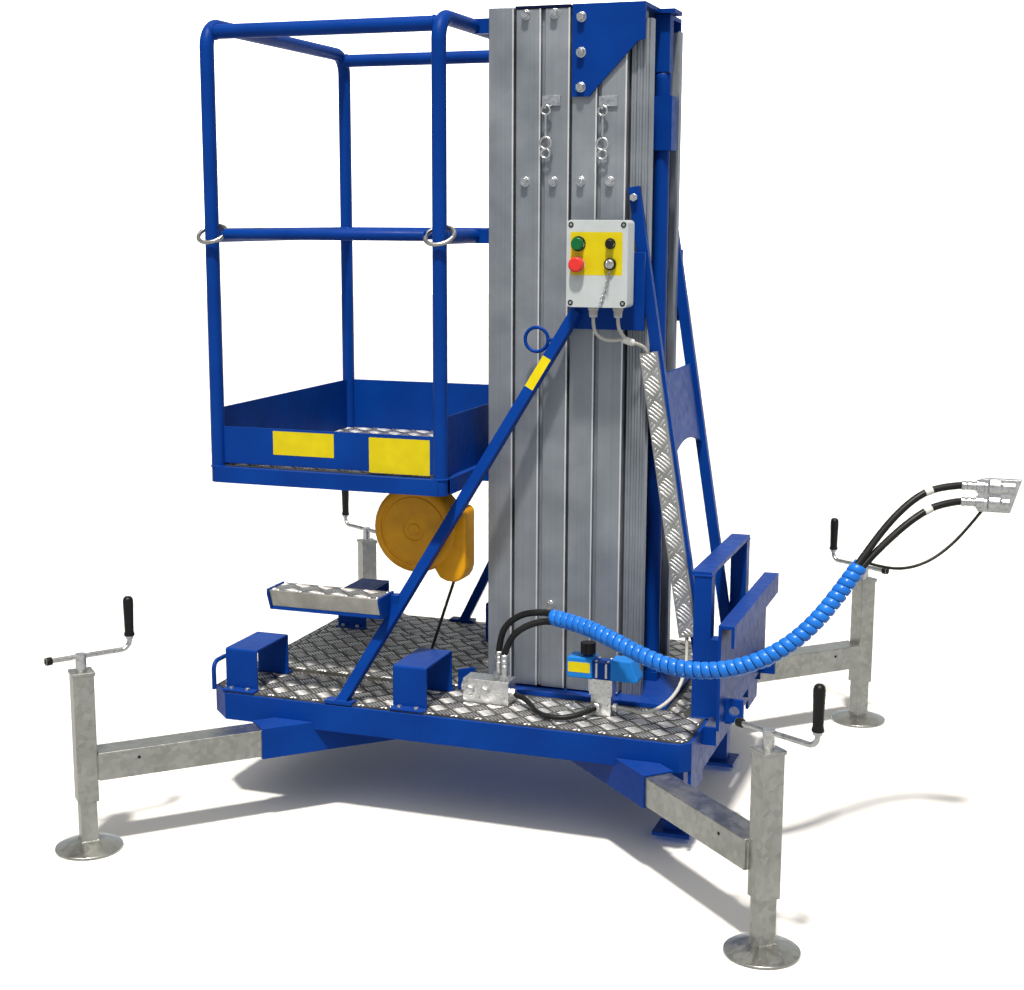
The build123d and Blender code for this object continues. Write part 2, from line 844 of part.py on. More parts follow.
def pulley_cheeks(section_x, top):
    """Brackets that carry the pulley's axle from the section's rear wall."""
    x, z = pulley_place(section_x, top)
    gap = pulley_width / 2 + slot_clear
    cheek = block(
        (x - 2 * pulley_axle, section_x[1] - section_wall), (gap, gap + section_wall),
        (z - 2 * pulley_axle, z + 2 * pulley_axle),
    )
    end = 2 * (gap + section_wall)
    axle = rod((x, -end, z), (x, end, z), pulley_axle)
    return both_sides(cheek - axle) + [axle]


def bolt_grid(section_x, top, rows):
    """Places of a section's bolts, as X and Z."""
    return [(section_x[0] + column, top - row) for row in rows for column in bolt_columns]


def build_section_1_fasteners():
    pieces = hung_bolts(bolt_grid(section_1_x, section_1_top, bolt_rows[1]), mast_half)
    gusset_bolts = [(section_1_x[0] + bolt_columns[0], section_1_top - row) for row in gusset_bolt_rows]
    pieces += hung_bolts(gusset_bolts, mast_half + gusset_thickness)
    pieces.append(hook_lug(section_1_x, section_1_top))
    return pieces + pulley_cheeks(section_1_x, section_1_top)


def build_section_2_fasteners():
    pieces = hung_bolts(bolt_grid(section_2_x, section_2_top, bolt_rows[2]), mast_half)
    pieces += hung_bolts([(section_2_x[0] + bolt_columns[1], section_bottom + low_bolt)], mast_half)
    pieces.append(hook_lug(section_2_x, section_2_top))
    return pieces + pulley_cheeks(section_2_x, section_2_top)


def slot_notches(face, z, height):
    """Room over the C-slots, where the next section's rails pass."""
    reach = rail_head / 2 + slot_clear + slot_wall
    notches = Sketch()
    for y in (-rail_y, rail_y):
        notches += patch((face - section_gap, face + slot_depth + slot_wall), (y - reach, y + reach))
    return Pos(0, 0, z) * extrude(notches, height)


def build_section_2_cap():
    z = (section_2_top, section_2_top + section_cap_thickness)
    span = (section_2_x[0] - cap_overlap, section_2_x[1] + cap_overlap)
    side = (-mast_half - cap_overlap, mast_half + cap_overlap)
    return [block(span, side, z) - slot_notches(section_2_x[0], z[0], section_cap_thickness)]


def build_lift_gusset():
    """Side plates on section 1 and the plate over the lift cylinder."""
    front, gusset_rear = section_1_x[0], section_1_x[0] + gusset_depth
    outline = [(front + cap_overlap, section_1_top), (gusset_rear, section_1_top)]
    outline += [(front + along, section_1_top - drop) for along, drop in gusset_points]
    outline.append((front + cap_overlap, section_1_top - gusset_drop))
    side = extrude(Plane.XZ.offset(mast_half) * make_face(Polyline(*outline, close=True)), gusset_thickness)
    half = mast_half + gusset_thickness
    z = (section_1_top, section_1_top + top_plate_thickness)
    plate = block((front + cap_overlap, gusset_rear), (-half, half), z)
    tongue_rear, tongue_half = top_plate_tongue
    plate += block((gusset_rear, tongue_rear), (-tongue_half, tongue_half), z)
    plate -= slot_notches(section_1_x[0], z[0], top_plate_thickness)
    return both_sides(side) + [plate]


head_bottom = section_1_top - head_drop
head_top = head_bottom + head_height
gland_top = head_top + gland_height
rod_block_bottom = section_1_top - rod_block_height


def build_cylinder_barrel():
    axis = (cylinder_x, 0)
    barrel = rod((*axis, barrel_bottom), (*axis, head_bottom), barrel_radius)
    front = cylinder_x - head_front
    length, width = head_size
    head = block((front, front + length), (-width / 2, width / 2), (head_bottom, head_top))
    run, rise = head_chamfer
    corner = [(front, head_bottom), (front + run, head_bottom), (front, head_bottom + rise)]
    head -= extrude(Plane.XZ * make_face(Polyline(*corner, close=True)), width, both=True)
    head += rod((*axis, head_top), (*axis, gland_top), gland_radius - slot_clear)
    bore_bottom = barrel_bottom + barrel_end
    barrel -= rod((*axis, bore_bottom), (*axis, head_bottom), barrel_bore)
    head -= rod((*axis, head_bottom), (*axis, gland_top), rod_radius + running_clear)
    foot = block(
        (cylinder_x - barrel_radius, cylinder_x + barrel_radius), (-barrel_radius, barrel_radius),
        (mast_foot_top, barrel_bottom),
    )
    return [barrel + head + foot]


def build_cylinder_rod():
    axis = (cylinder_x, 0)
    piston_bottom = barrel_bottom + barrel_end + piston_gap
    piece = rod((*axis, piston_bottom), (*axis, rod_block_bottom), rod_radius)
    piece += rod((*axis, piston_bottom), (*axis, piston_bottom + piston_length), barrel_bore - running_clear)
    half = rod_block / 2
    piece += block(
        (cylinder_x - half, cylinder_x + half), (-half, half), (rod_block_bottom, section_1_top)
    )
    return [piece]


# Braces, collar, cover and step
collar_face = fixed_half + collar_gap
collar_top = section_1_top - collar_drop
collar_bottom = collar_top - collar_height
front_brace_top_z = collar_bottom + front_brace_rise
front_brace_foot = (front_brace_foot_x, base_half - front_brace_foot_edge)


def front_brace():
    """Near front brace, its foot plate and its lashing ring."""
    foot_x, foot_out = front_brace_foot
    length, width, height = brace_foot_plate
    top_x, top_out = front_brace_top
    top_z = front_brace_top_z
    ends = (foot_x, -foot_out, frame_top), (top_x, -top_out, top_z)
    plate_top = deck_top + height
    reach = 2 * brace_width
    brace = beam(*ends, brace_width, brace_width, (1, 0, 0), brace_wall)
    brace -= block(
        (foot_x - reach, foot_x + reach), (-foot_out - reach, -foot_out + reach),
        (frame_top - reach, plate_top)
    )
    brace -= block(
        (top_x - reach, top_x + reach), (-collar_face - collar_thickness, 0),
        (top_z - reach, top_z + reach)
    )
    plate = block(
        (foot_x - length / 2, foot_x + length / 2), (-foot_out - width / 2, -foot_out + width / 2),
        (deck_top, plate_top),
    )
    ring_x, ring_y = brace_at(top_z - ring_drop)
    ring_z = top_z - ring_drop
    ring = Pos(ring_x - ring_reach, ring_y, ring_z) * Rot(90, 0, 0) * Torus(ring_radius, ring_wire)
    ring += rod((ring_x - ring_reach + ring_radius, ring_y, ring_z), (ring_x, ring_y, ring_z), ring_wire)
    return [brace, plate, cut_by(ring, [beam(*ends, brace_width, brace_width, (1, 0, 0))])]


def brace_at(z):
    """Centre of the near front brace at a height."""
    share = (z - frame_top) / (front_brace_top_z - frame_top)
    x = front_brace_foot[0] + share * (front_brace_top[0] - front_brace_foot[0])
    y = -front_brace_foot[1] + share * (front_brace_foot[1] - front_brace_top[1])
    return x, y


step_outer = base_half + step_out
step_inner = step_outer - step_depth
step_seat = step_top - step_sheet
step_lip_foot = step_seat - step_lip
step_floor = step_lip_foot - step_skirt
step_tray_front = -step_outer + step_lip_set


def step_bar(outline, x):
    """A length of the step from its outline of Y and Z."""
    return extrude(Plane.YZ.offset(x[0]) * make_face(Polyline(*outline, close=True)), x[1] - x[0])


def step_frame():
    """The step's tray with its ribs and end plates, and the bracket to the near front brace."""
    floor = step_floor + step_rib
    back = -step_inner - step_rib
    length = (step_front, step_rear)
    tray = [
        block(length, (step_tray_front, -step_inner), (step_floor, floor)),
        block(length, (step_tray_front, step_tray_front + step_rib), (floor, step_lip_foot)),
        block(length, (back, -step_inner), (floor, step_seat)),
    ]
    rib = [(-step_outer + step_sheet, step_seat), (back, step_seat), (back, floor)]
    rib += [(step_tray_front + step_rib, floor), (step_tray_front + step_rib, step_lip_foot)]
    rib.append((step_tray_front + step_sheet, step_lip_foot))
    for share in (1 / 3, 2 / 3):
        x = step_front + share * (step_rear - step_front)
        tray.append(step_bar(rib, (x - step_rib / 2, x + step_rib / 2)))
    nose = -step_outer - step_end_rise
    end_top = step_top + step_end_rise
    end = [(nose, end_top), (-step_inner, end_top), (-step_inner, step_floor)]
    end += [(step_tray_front, step_floor), (nose, end_top - step_end_nose)]
    for x in (step_front - step_rib, step_rear):
        tray.append(step_bar(end, (x, x + step_rib)))
    brace_x, brace_y = brace_at((step_floor + step_seat) / 2)
    bracket = block(
        (step_rear + step_rib, brace_x), (brace_y - step_bracket / 2, brace_y + step_bracket / 2),
        (step_floor, step_seat),
    )
    brace = beam(
        (*brace_at(step_floor - brace_width), step_floor - brace_width),
        (*brace_at(step_seat + brace_width), step_seat + brace_width), brace_width, brace_width, (1, 0, 0),
    )
    return [cut_by(piece, [brace]) for piece in tray + [bracket]]


def build_front_braces():
    return both_sides(*front_brace()) + step_frame()


def build_step_tread():
    """Tread plate with its sloping front lip."""
    outline = [(-step_outer, step_top), (-step_inner, step_top), (-step_inner, step_seat)]
    outline += [(-step_outer + step_sheet, step_seat), (step_tray_front + step_sheet, step_lip_foot)]
    outline += [(step_tray_front, step_lip_foot), (-step_outer, step_seat)]
    return [step_bar(outline, (step_front, step_rear))]


rear_brace_out = fixed_half + rear_brace_depth / 2   # the braces lie against the fixed section's sides


def rear_brace_ends():
    """Top and foot of the near rear brace."""
    x, z = rear_brace_top
    return (x, -rear_brace_out, z), (rear_brace_foot, -rear_brace_out, mast_foot_top)


def rear_brace_at(z):
    """Centre of the near rear brace at a height."""
    top, foot = rear_brace_ends()
    share = (top[2] - z) / (top[2] - foot[2])
    return top[0] + share * (foot[0] - top[0]), -rear_brace_out


def build_rear_braces():
    """Rear braces and the arched web between them."""
    top, foot = rear_brace_ends()
    run = (Vector(*foot) - Vector(*top)).normalized()
    ends = top, tuple(Vector(*foot) + run * rear_brace_width)
    brace = beam(*ends, rear_brace_width, rear_brace_depth, (1, 0, 0), brace_wall)
    reach = 3 * rear_brace_width
    brace -= block(
        (foot[0] - reach, foot[0] + reach), (foot[1] - reach, foot[1] + reach), (frame_bottom, deck_top)
    )
    middle = (web_top + web_bottom) / 2
    height = (web_top - web_bottom) / -run.Z
    span = 2 * (rear_brace_out - rear_brace_depth / 2)
    place = Plane(
        origin=(rear_brace_at(middle)[0], 0, middle), x_dir=(0, 1, 0), z_dir=Vector(0, 1, 0).cross(-run)
    )
    outline = Rectangle(span, height) - Pos(0, web_arch_rise - web_arch - height / 2) * Circle(web_arch)
    return both_sides(brace) + [extrude(place * outline, web_thickness / 2, both=True)]


def build_cable_cover():
    """Tread-plate channel along the near rear brace."""
    x, y = rear_brace_at(cover_top)
    low_x, low_y = rear_brace_at(cover_bottom)
    run = Vector(low_x - x, low_y - y, cover_bottom - cover_top)
    place = Plane(origin=(x, y, cover_top), x_dir=(1, 0, 0), z_dir=run)
    seat = rear_brace_depth / 2
    front, rear = cover_shift - cover_width / 2, cover_shift + cover_width / 2
    outline = patch((front, rear), (seat, seat + cover_depth))
    outline -= patch((front + cover_wall, rear - cover_wall), (seat, seat + cover_depth - cover_wall))
    return [extrude(place * outline, run.length)]


def build_mast_collar():
    """Side plates with spacers to the fixed section, and the control box's rails."""
    side = (-collar_face - collar_thickness, -collar_face)
    plate = block((collar_front, collar_rear), side, (collar_bottom, collar_top))
    inset = collar_thickness * 3
    spacer = block(spacer_x, (-collar_face, -fixed_half), (collar_bottom + inset, collar_top - inset))
    pieces = both_sides(plate, spacer)
    for z in (box_bottom + box_rail, collar_top - 1.5 * box_rail):
        pieces.append(block((box_left + box_wall, spacer_x[0]), (box_back, side[0]), (z, z + box_rail)))
    return pieces


# Control box
lid_back = box_face + lid_depth
box_bottom = collar_bottom + box_rise
box_top = box_bottom + box_height


def box_outline(inset):
    """The control box's outline seen from the front, moved in by inset."""
    width, height = box_right - box_left - 2 * inset, box_top - box_bottom - 2 * inset
    corner = max(box_corner - inset, box_wall)
    return Pos((box_left + box_right) / 2, (box_bottom + box_top) / 2) * RectangleRounded(
        width, height, corner
    )


def box_slab(outline, front, back):
    """Give a front-view outline its depth along Y."""
    return extrude(Plane.XZ.offset(-back) * outline, back - front)


def build_control_case():
    case = box_slab(box_outline(0), lid_back, box_back)
    case -= box_slab(box_outline(box_wall), lid_back, box_back - box_wall)
    pieces = [case]
    for x in gland_x:
        foot = box_bottom - gland_length
        gland = rod((x, gland_y, foot), (x, gland_y, box_bottom), gland_size)
        pieces.append(gland)
    return pieces


def build_control_lid():
    lid = box_slab(box_outline(0), box_face, lid_back)
    lid -= box_slab(box_outline(box_wall), box_face + box_wall, lid_back)
    for x, rise_by, *_ in (start_button, stop_button, lower_button, key_switch):
        z = box_bottom + rise_by
        lid -= rod((x, box_face, z), (x, lid_back, z), button_stem + button_clear)
    return [lid]


def build_button(button):
    """A push button: its cap stands off the lid by its travel, and its stem passes through."""
    x, rise_by, radius, height = button
    z = box_bottom + rise_by
    back = box_face - button_travel
    cap = rod((x, back - height, z), (x, back, z), radius)
    cap = fillet(cap.edges().group_by(Axis.Y)[0], min(radius, height) * 0.3)
    return [cap + rod((x, back, z), (x, box_face + box_wall + button_clear, z), button_stem)]


def build_key_switch():
    x, rise_by, radius, height = key_switch
    z = box_bottom + rise_by
    front = box_face - height
    body = rod((x, front, z), (x, box_face - button_clear, z), radius)
    body += rod((x, box_face - button_clear, z), (x, box_face + box_wall + button_clear, z), button_stem)
    thick, wide, long = key_size
    return [body + block((x - thick / 2, x + thick / 2), (front - long, front), (z - wide / 2, z + wide / 2))]


def build_control_leads():
    pieces = [
        cord("control lead a", control_lead_a, control_lead_radius),
        cord("control lead b", control_lead_b, control_lead_radius),
        cord("cover lead", cover_lead, control_lead_radius),
        cord("valve lead", valve_lead, control_lead_radius),
    ]
    sleeve = rod(control_lead_a[-1], cover_lead[0], control_lead_radius * 2)
    return pieces + [cut_by(sleeve, pieces[:3])]


# Hitch
def build_hitch_frame():
    """Portal on the base's end and the hook plate, with ribs between them and two lock lugs."""
    long, wide = portal_post
    posts = block(
        (base_rear - long, base_rear), (-portal_half, -portal_half + wide),
        (deck_top, portal_top - portal_plate)
    )
    top = block(
        (portal_front, base_rear), (-portal_half, portal_half), (portal_top - portal_plate, portal_top)
    )
    face = (hitch_face - hitch_plate, hitch_face)
    plate = block(face, (-hitch_half, hitch_half), (hitch_bottom, hitch_top))
    hook = block(
        (hitch_face, hitch_face + hook_out), (-hitch_half, hitch_half),
        (hitch_top - hitch_plate, hitch_top)
    )
    lip = block(
        (hitch_face + hook_out - hitch_plate, hitch_face + hook_out), (-hitch_half, hitch_half),
        (hitch_top - hook_drop, hitch_top - hitch_plate),
    )
    pieces = both_sides(posts) + [top, plate, hook, lip]
    for y in rib_y:
        rib_top = frame_top if abs(y) > portal_half else hitch_top - hook_drop
        pieces.append(block(
            (base_rear, face[0]), (y - rib_thickness / 2, y + rib_thickness / 2),
            (hitch_bottom - frame_flange, rib_top)
        ))
    stay = block(
        (base_rear, face[0]), (-portal_half, -portal_half + wide),
        (frame_top + rib_thickness, hitch_top - hook_drop)
    )
    pieces += both_sides(stay)
    lug_x, lug_y, lug_z = lock_lug
    lug = block(
        (hitch_face, hitch_face + lug_x), (-lock_lug_y - lug_y / 2, -lock_lug_y + lug_y / 2),
        (hitch_bottom, hitch_bottom + lug_z),
    )
    pin = (hitch_face + lug_x / 2, hitch_bottom + lug_z / 2)
    lug -= rod((pin[0], -lock_lug_y - lug_y, pin[1]), (pin[0], -lock_lug_y + lug_y, pin[1]), lug_pin_radius)
    return pieces + both_sides(lug)


# Hydraulics on the deck
block_top = deck_top + block_height
gland_foot = deck_top + centre_deck_thickness   # the reel cable's gland stands on the centre deck


def build_port_block():
    """Port block with its two hose tails, the valve's sub-plate and pedestal, and the reel cable's gland."""
    pieces = [block(block_x, block_y, (deck_top, block_top))]
    for x, y in tail_at:
        pieces.append(rod((x, y, block_top), (x, y, tail_top), tail_radius))
    pieces.append(block(sub_x, sub_y, (sub_bottom, valve_bottom)))
    pedestal_x = (sub_x[0] + pedestal_inset, sub_x[1] - pedestal_inset)
    pedestal_y = (sub_y[0] + pedestal_inset, sub_y[1] - pedestal_inset)
    pieces.append(block(pedestal_x, pedestal_y, (deck_top, sub_bottom)))
    radius, height = deck_gland
    pieces.append(rod((*reel_cable_foot, gland_foot), (*reel_cable_foot, gland_foot + height), radius))
    return pieces


def build_valve_body():
    body = block(valve_x, valve_y, (valve_bottom, valve_top))
    middle = (valve_y[0] + valve_y[1]) / 2
    return [body + rod((knob_x, middle, valve_top), (knob_x, middle, valve_top + knob_gap), knob_stem * 1.5)]


def build_valve_knob():
    middle = (valve_y[0] + valve_y[1]) / 2
    foot = valve_top + knob_gap
    knob = rod((knob_x, middle, foot), (knob_x, middle, foot + knob_height), knob_radius)
    for turn in range(0, 360, 45):
        at = Pos(knob_x + knob_radius * cos(radians(turn)), middle + knob_radius * sin(radians(turn)), foot)
        knob -= at * extrude(Circle(knob_stem / 3), knob_height)
    return [knob]


def build_hose_guard():
    return [cord("hose guard", guard_route, guard_radius)]


def build_loader_hoses():
    """The two hoses on each side of their guard, and the electric lead, cut flush with what they enter."""
    hoses = [
        cord("hose tail a", hose_tail_a, hose_radius),
        cord("hose tail b", hose_tail_b, hose_radius),
        cord("hose end a", hose_end_a, hose_radius),
        cord("hose end b", hose_end_b, hose_radius),
        cord("coupler lead", coupler_lead, lead_radius),
    ]
    ends = build_hose_guard() + build_multi_coupler() + build_port_block()
    return [cut_by(hose, ends) for hose in hoses]


def build_multi_coupler():
    depth = (coupler_y - coupler_depth / 2, coupler_y + coupler_depth / 2)
    body = block(coupler_x, depth, coupler_z)
    for route in (hose_end_a, hose_end_b):
        z = route[-1][2]
        body += rod(
            (coupler_x[0] - ferrule_length, coupler_y, z), (coupler_x[0], coupler_y, z), ferrule_radius
        )
    return [body]


# Basket
post_x = (basket_front, basket_rear)
tube_radius = tube_diameter / 2
floor_top = floor_bottom + floor_frame + floor_plate
bend_inset = hoop_radius * (1 - cos(radians(45)))
end_rail_top = rail_top + bend_inset       # the end hoops' top, above the rails that meet their bends


def hoop_bend_at(x, y, inner):
    """One bend of an end hoop: a tube, or a full round bar where inner is zero."""
    toward = 1 if y < 0 else -1
    pivot = (x, y + toward * hoop_radius, end_rail_top - hoop_radius)
    section = Plane(origin=(x, y, pivot[2]), z_dir=(0, 0, 1)) * Circle(tube_radius)
    if inner:
        section -= Plane(origin=(x, y, pivot[2]), z_dir=(0, 0, 1)) * Circle(inner)
    return revolve(section, Axis(pivot, (-toward, 0, 0)), 90)


def basket_posts():
    """The posts and bends of the end hoops as full round bars, for cutting what meets them."""
    bars = []
    for x in post_x:
        for y in (-basket_half, basket_half):
            bars.append(rod((x, y, floor_bottom), (x, y, end_rail_top - hoop_radius), tube_radius))
            bars.append(hoop_bend_at(x, y, 0))
    return bars


def build_basket_frame():
    bars = basket_posts()
    pieces = []
    hoop_end = basket_half - hoop_radius
    for x in post_x:
        for y in (-basket_half, basket_half):
            pieces.append(
                tube((x, y, floor_bottom), (x, y, end_rail_top - hoop_radius), tube_radius, tube_wall)
            )
            pieces.append(hoop_bend_at(x, y, tube_radius - tube_wall))
        pieces.append(tube((x, -hoop_end, end_rail_top), (x, hoop_end, end_rail_top), tube_radius, tube_wall))
    rails = []
    for y in (-basket_half + bend_inset, basket_half - bend_inset):
        rails.append(((post_x[0], y, rail_top), (post_x[1], y, rail_top)))
    rails.append(((post_x[0], basket_half, rail_middle), (post_x[1], basket_half, rail_middle)))
    for x in post_x:
        rails.append(((x, -basket_half, rail_middle), (x, basket_half, rail_middle)))
    for start, end in rails:
        pieces.append(cut_by(tube(start, end, tube_radius, tube_wall), bars))
    middle = floor_bottom + floor_frame / 2
    for y in (-basket_half, basket_half):
        side = beam(
            (post_x[0], y, middle), (post_x[1], y, middle), floor_frame, floor_frame, (0, 1, 0),
            floor_frame_wall
        )
        pieces.append(cut_by(side, bars))
    for x in post_x:
        end = beam(
            (x, -basket_half, middle), (x, basket_half, middle), floor_frame, floor_frame, (1, 0, 0),
            floor_frame_wall
        )
        corners = [
            block((x - floor_frame, x + floor_frame), (y - floor_frame / 2, y + floor_frame / 2),
                  (floor_bottom, floor_bottom + floor_frame))
            for y in (-basket_half, basket_half)
        ]
        pieces.append(cut_by(end, bars + corners))
    seat = (basket_rear + floor_frame / 2, section_3_x[0])
    bracket = block(
        seat, (-bracket_y - bracket_width / 2, -bracket_y + bracket_width / 2),
        (floor_bottom, floor_bottom + floor_frame),
    )
    pieces += both_sides(bracket)
    for z in (end_rail_top, rail_middle):
        clamp = block(
            (basket_rear, section_3_x[0]), (-clamp_y - clamp_width / 2, -clamp_y + clamp_width / 2),
            (z - tube_radius, z + tube_radius),
        )
        rail = rod((basket_rear, -basket_half, z), (basket_rear, basket_half, z), tube_radius)
        pieces += both_sides(cut_by(clamp, [rail]))
    return pieces


def build_basket_floor():
    """Tread plate on the floor frame, between the toe boards."""
    edge = toe_thickness / 2
    plate = block(
        (post_x[0] + edge, post_x[1] - edge), (-basket_half + edge, basket_half - edge),
        (floor_bottom + floor_frame, floor_top),
    )
    for bar in basket_posts():
        plate -= bar
    return [plate]


def build_toe_boards():
    bars = basket_posts()
    half = toe_thickness / 2
    foot = floor_bottom + floor_frame
    sides = (
        (-basket_half, (foot + entry_toe_gap, floor_top + entry_toe_height)),
        (basket_half, (foot, floor_top + toe_height)),
    )
    pieces = []
    for y, z in sides:
        pieces.append(cut_by(block((post_x[0], post_x[1]), (y - half, y + half), z), bars))
    for x in post_x:
        board = block((x - half, x + half), (-basket_half, basket_half), (foot, floor_top + toe_height))
        pieces.append(cut_by(board, bars))
    return pieces


def build_drop_bar():
    """Sliding entry bar with a loose ring round each entry post. Each ring rests on a side rail."""
    ring, wire = bar_ring
    z = rail_middle + tube_radius + bar_gap + wire - ring * sin(radians(bar_ring_tilt))
    bar = rod((post_x[0] + ring, -basket_half, z), (post_x[1] - ring, -basket_half, z), bar_diameter / 2)
    for x in post_x:
        bar += Pos(x, -basket_half, z) * Rot(bar_ring_tilt, 0, 0) * Torus(ring, wire)
    return [bar]


def build_cable_reel():
    """Reel case with its outlet nose and its hanger on the basket floor."""
    back = reel_front + reel_depth
    case = rod((reel_x, reel_front, reel_z), (reel_x, back, reel_z), reel_radius)
    nose_front, nose_rear, nose_foot = reel_nose
    case += block(
        (reel_x, nose_rear), (reel_front, back), (reel_z - reel_radius / 3, reel_z + reel_radius / 2)
    )
    case += block((nose_front, nose_rear), (reel_front, back), (nose_foot, reel_z))
    width, depth = reel_hanger
    middle = (reel_front + back) / 2
    hanger = block(
        (reel_x - width / 2, reel_x + width / 2), (middle - depth / 2, middle + depth / 2),
        (reel_z, floor_bottom + floor_frame),
    )
    return [case, cut_by(hanger, [case])]


def build_reel_cable():
    foot, top = Vector(*reel_cable_foot, gland_foot + deck_gland[1]), Vector(*reel_cable_top, reel_nose[2])
    run = (top - foot).normalized() * deck_gland[1]
    cable = rod(tuple(foot - run), tuple(top + run), reel_cable_radius)
    reach = (min(foot.X, top.X) - reel_radius, max(foot.X, top.X) + reel_radius)
    return [cable & block(reach, (reel_front, -reel_front), (foot.Z, top.Z))]


# Bolts and screws on the base and the control box
def build_chassis_fasteners():
    pieces = []
    for span in pocket_spans():
        for out in (pocket_outer + pocket_flange / 2, pocket_inner - pocket_flange / 2):
            for share in (0.25, 0.75):
                x = span[0] + share * pocket_length
                place = Plane(origin=(x, -out, deck_top + pocket_wall), z_dir=(0, 0, 1))
                pieces += both_sides(hexagon(place, bolt_head / 3, bolt_height / 2))
    top, foot = rear_brace_ends()
    along = Plane(origin=top, x_dir=(1, 0, 0), z_dir=Vector(*foot) - Vector(*top))
    centre = along.from_local_coords((0, rear_brace_depth / 2, rear_bolt_drop))
    pieces += both_sides(hexagon(Plane(origin=centre, z_dir=along.y_dir), bolt_head / 2, bolt_height))
    for x in (box_left + screw_inset, box_right - screw_inset):
        for z in (box_bottom + screw_inset, box_top - screw_inset):
            pieces.append(rod((x, box_face - screw_proud, z), (x, box_face, z), screw_radius))
    return pieces


def all_nodes():
    """Every node's name and its pieces."""
    nodes = {
        "base_frame": build_base_frame(),
        "deck_plates": build_deck_plates(),
        "fork_pockets": build_fork_pockets(),
        "front_braces": build_front_braces(),
        "step_tread": build_step_tread(),
        "mast_collar": build_mast_collar(),
        "rear_braces": build_rear_braces(),
        "cable_cover": build_cable_cover(),
        "fixed_mast": build_fixed_mast(),
        "cylinder_barrel": build_cylinder_barrel(),
        "hitch_frame": build_hitch_frame(),
        "control_case": build_control_case(),
        "control_lid": build_control_lid(),
        "start_button": build_button(start_button),
        "stop_button": build_button(stop_button),
        "lower_button": build_button(lower_button),
        "key_switch": build_key_switch(),
        "control_leads": build_control_leads(),
        "port_block": build_port_block(),
        "valve_body": build_valve_body(),
        "valve_knob": build_valve_knob(),
        "deck_hose": [cut_by(cord("deck hose", deck_hose_route, deck_hose_radius), build_port_block())],
        "loader_hoses": build_loader_hoses(),
        "hose_guard": build_hose_guard(),
        "multi_coupler": build_multi_coupler(),
        "chassis_fasteners": build_chassis_fasteners(),
        "mast_section_1": build_section_1(),
        "lift_gusset": build_lift_gusset(),
        "section_1_fasteners": build_section_1_fasteners(),
        "snap_hook_1": build_snap_hook(section_1_x, section_1_top),
        "chain_pulley_1": build_pulley(section_1_x, section_1_top),
        "cylinder_rod": build_cylinder_rod(),
        "mast_section_2": build_section_2(),
        "section_2_cap": build_section_2_cap(),
        "section_2_fasteners": build_section_2_fasteners(),
        "snap_hook_2": build_snap_hook(section_2_x, section_2_top),
        "chain_pulley_2": build_pulley(section_2_x, section_2_top),
        "mast_section_3": build_section_3(),
        "basket_frame": build_basket_frame(),
        "basket_floor": build_basket_floor(),
        "toe_boards": build_toe_boards(),
        "drop_bar": build_drop_bar(),
        "cable_reel": build_cable_reel(),
        "reel_cable": build_reel_cable(),
    }
    for corner in corner_sign:
        nodes[f"arm_{corner}"] = build_arm(corner)
        nodes[f"leg_{corner}"] = build_leg(corner)
        nodes[f"crank_{corner}"] = build_crank(corner)
        nodes[f"grip_{corner}"] = build_grip(corner)
    return nodes


if __name__ == "__main__":
    for name, pieces in all_nodes().items():
        export_step(Compound(solids_of(pieces)), f"parts/{name}.step")
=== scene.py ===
"""Looks of the aerial work platform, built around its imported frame.

Lengths are in millimetres and turned to metres when a mesh is made. The frame's axes hold: +X points to
the loader hitch, +Y away from the entry side, +Z up from the ground.
"""
from math import copysign, cos, hypot, pi, radians, sin

import bmesh
import bpy
from mathutils import Matrix, Vector
from mathutils.geometry import tessellate_polygon


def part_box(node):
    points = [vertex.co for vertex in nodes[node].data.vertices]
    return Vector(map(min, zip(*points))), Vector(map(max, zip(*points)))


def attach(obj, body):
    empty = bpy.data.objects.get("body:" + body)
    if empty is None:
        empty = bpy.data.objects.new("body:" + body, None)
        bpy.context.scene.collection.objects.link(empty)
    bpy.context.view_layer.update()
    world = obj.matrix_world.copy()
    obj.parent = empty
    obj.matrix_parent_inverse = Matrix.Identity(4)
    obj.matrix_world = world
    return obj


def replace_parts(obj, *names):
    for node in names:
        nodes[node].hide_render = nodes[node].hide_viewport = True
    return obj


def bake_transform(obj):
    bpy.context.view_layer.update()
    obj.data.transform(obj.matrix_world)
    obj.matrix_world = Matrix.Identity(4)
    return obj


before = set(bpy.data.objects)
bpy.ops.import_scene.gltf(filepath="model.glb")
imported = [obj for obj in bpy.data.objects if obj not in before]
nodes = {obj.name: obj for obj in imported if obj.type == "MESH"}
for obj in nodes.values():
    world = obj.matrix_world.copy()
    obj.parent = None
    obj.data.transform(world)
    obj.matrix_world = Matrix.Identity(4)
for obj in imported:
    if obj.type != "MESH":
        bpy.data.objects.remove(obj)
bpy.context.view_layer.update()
scene = bpy.context.scene

MM = 0.001
TO_HITCH, TO_ENTRY, UP = Vector((1, 0, 0)), Vector((0, -1, 0)), Vector((0, 0, 1))
SQUARE = ((-1, -1), (1, -1), (1, 1), (-1, 1))
CORNERS = {"front_left": (-1, -1), "rear_left": (1, -1), "rear_right": (1, 1), "front_right": (-1, 1)}

# Camera at the photograph's place
CAMERA_PLACE = (1.348, -3.948, 1.535)
CAMERA_TURN, CAMERA_DROP, CAMERA_ROLL = radians(19.13), radians(10.02), radians(-0.216)
CAMERA_LENS = 55.03

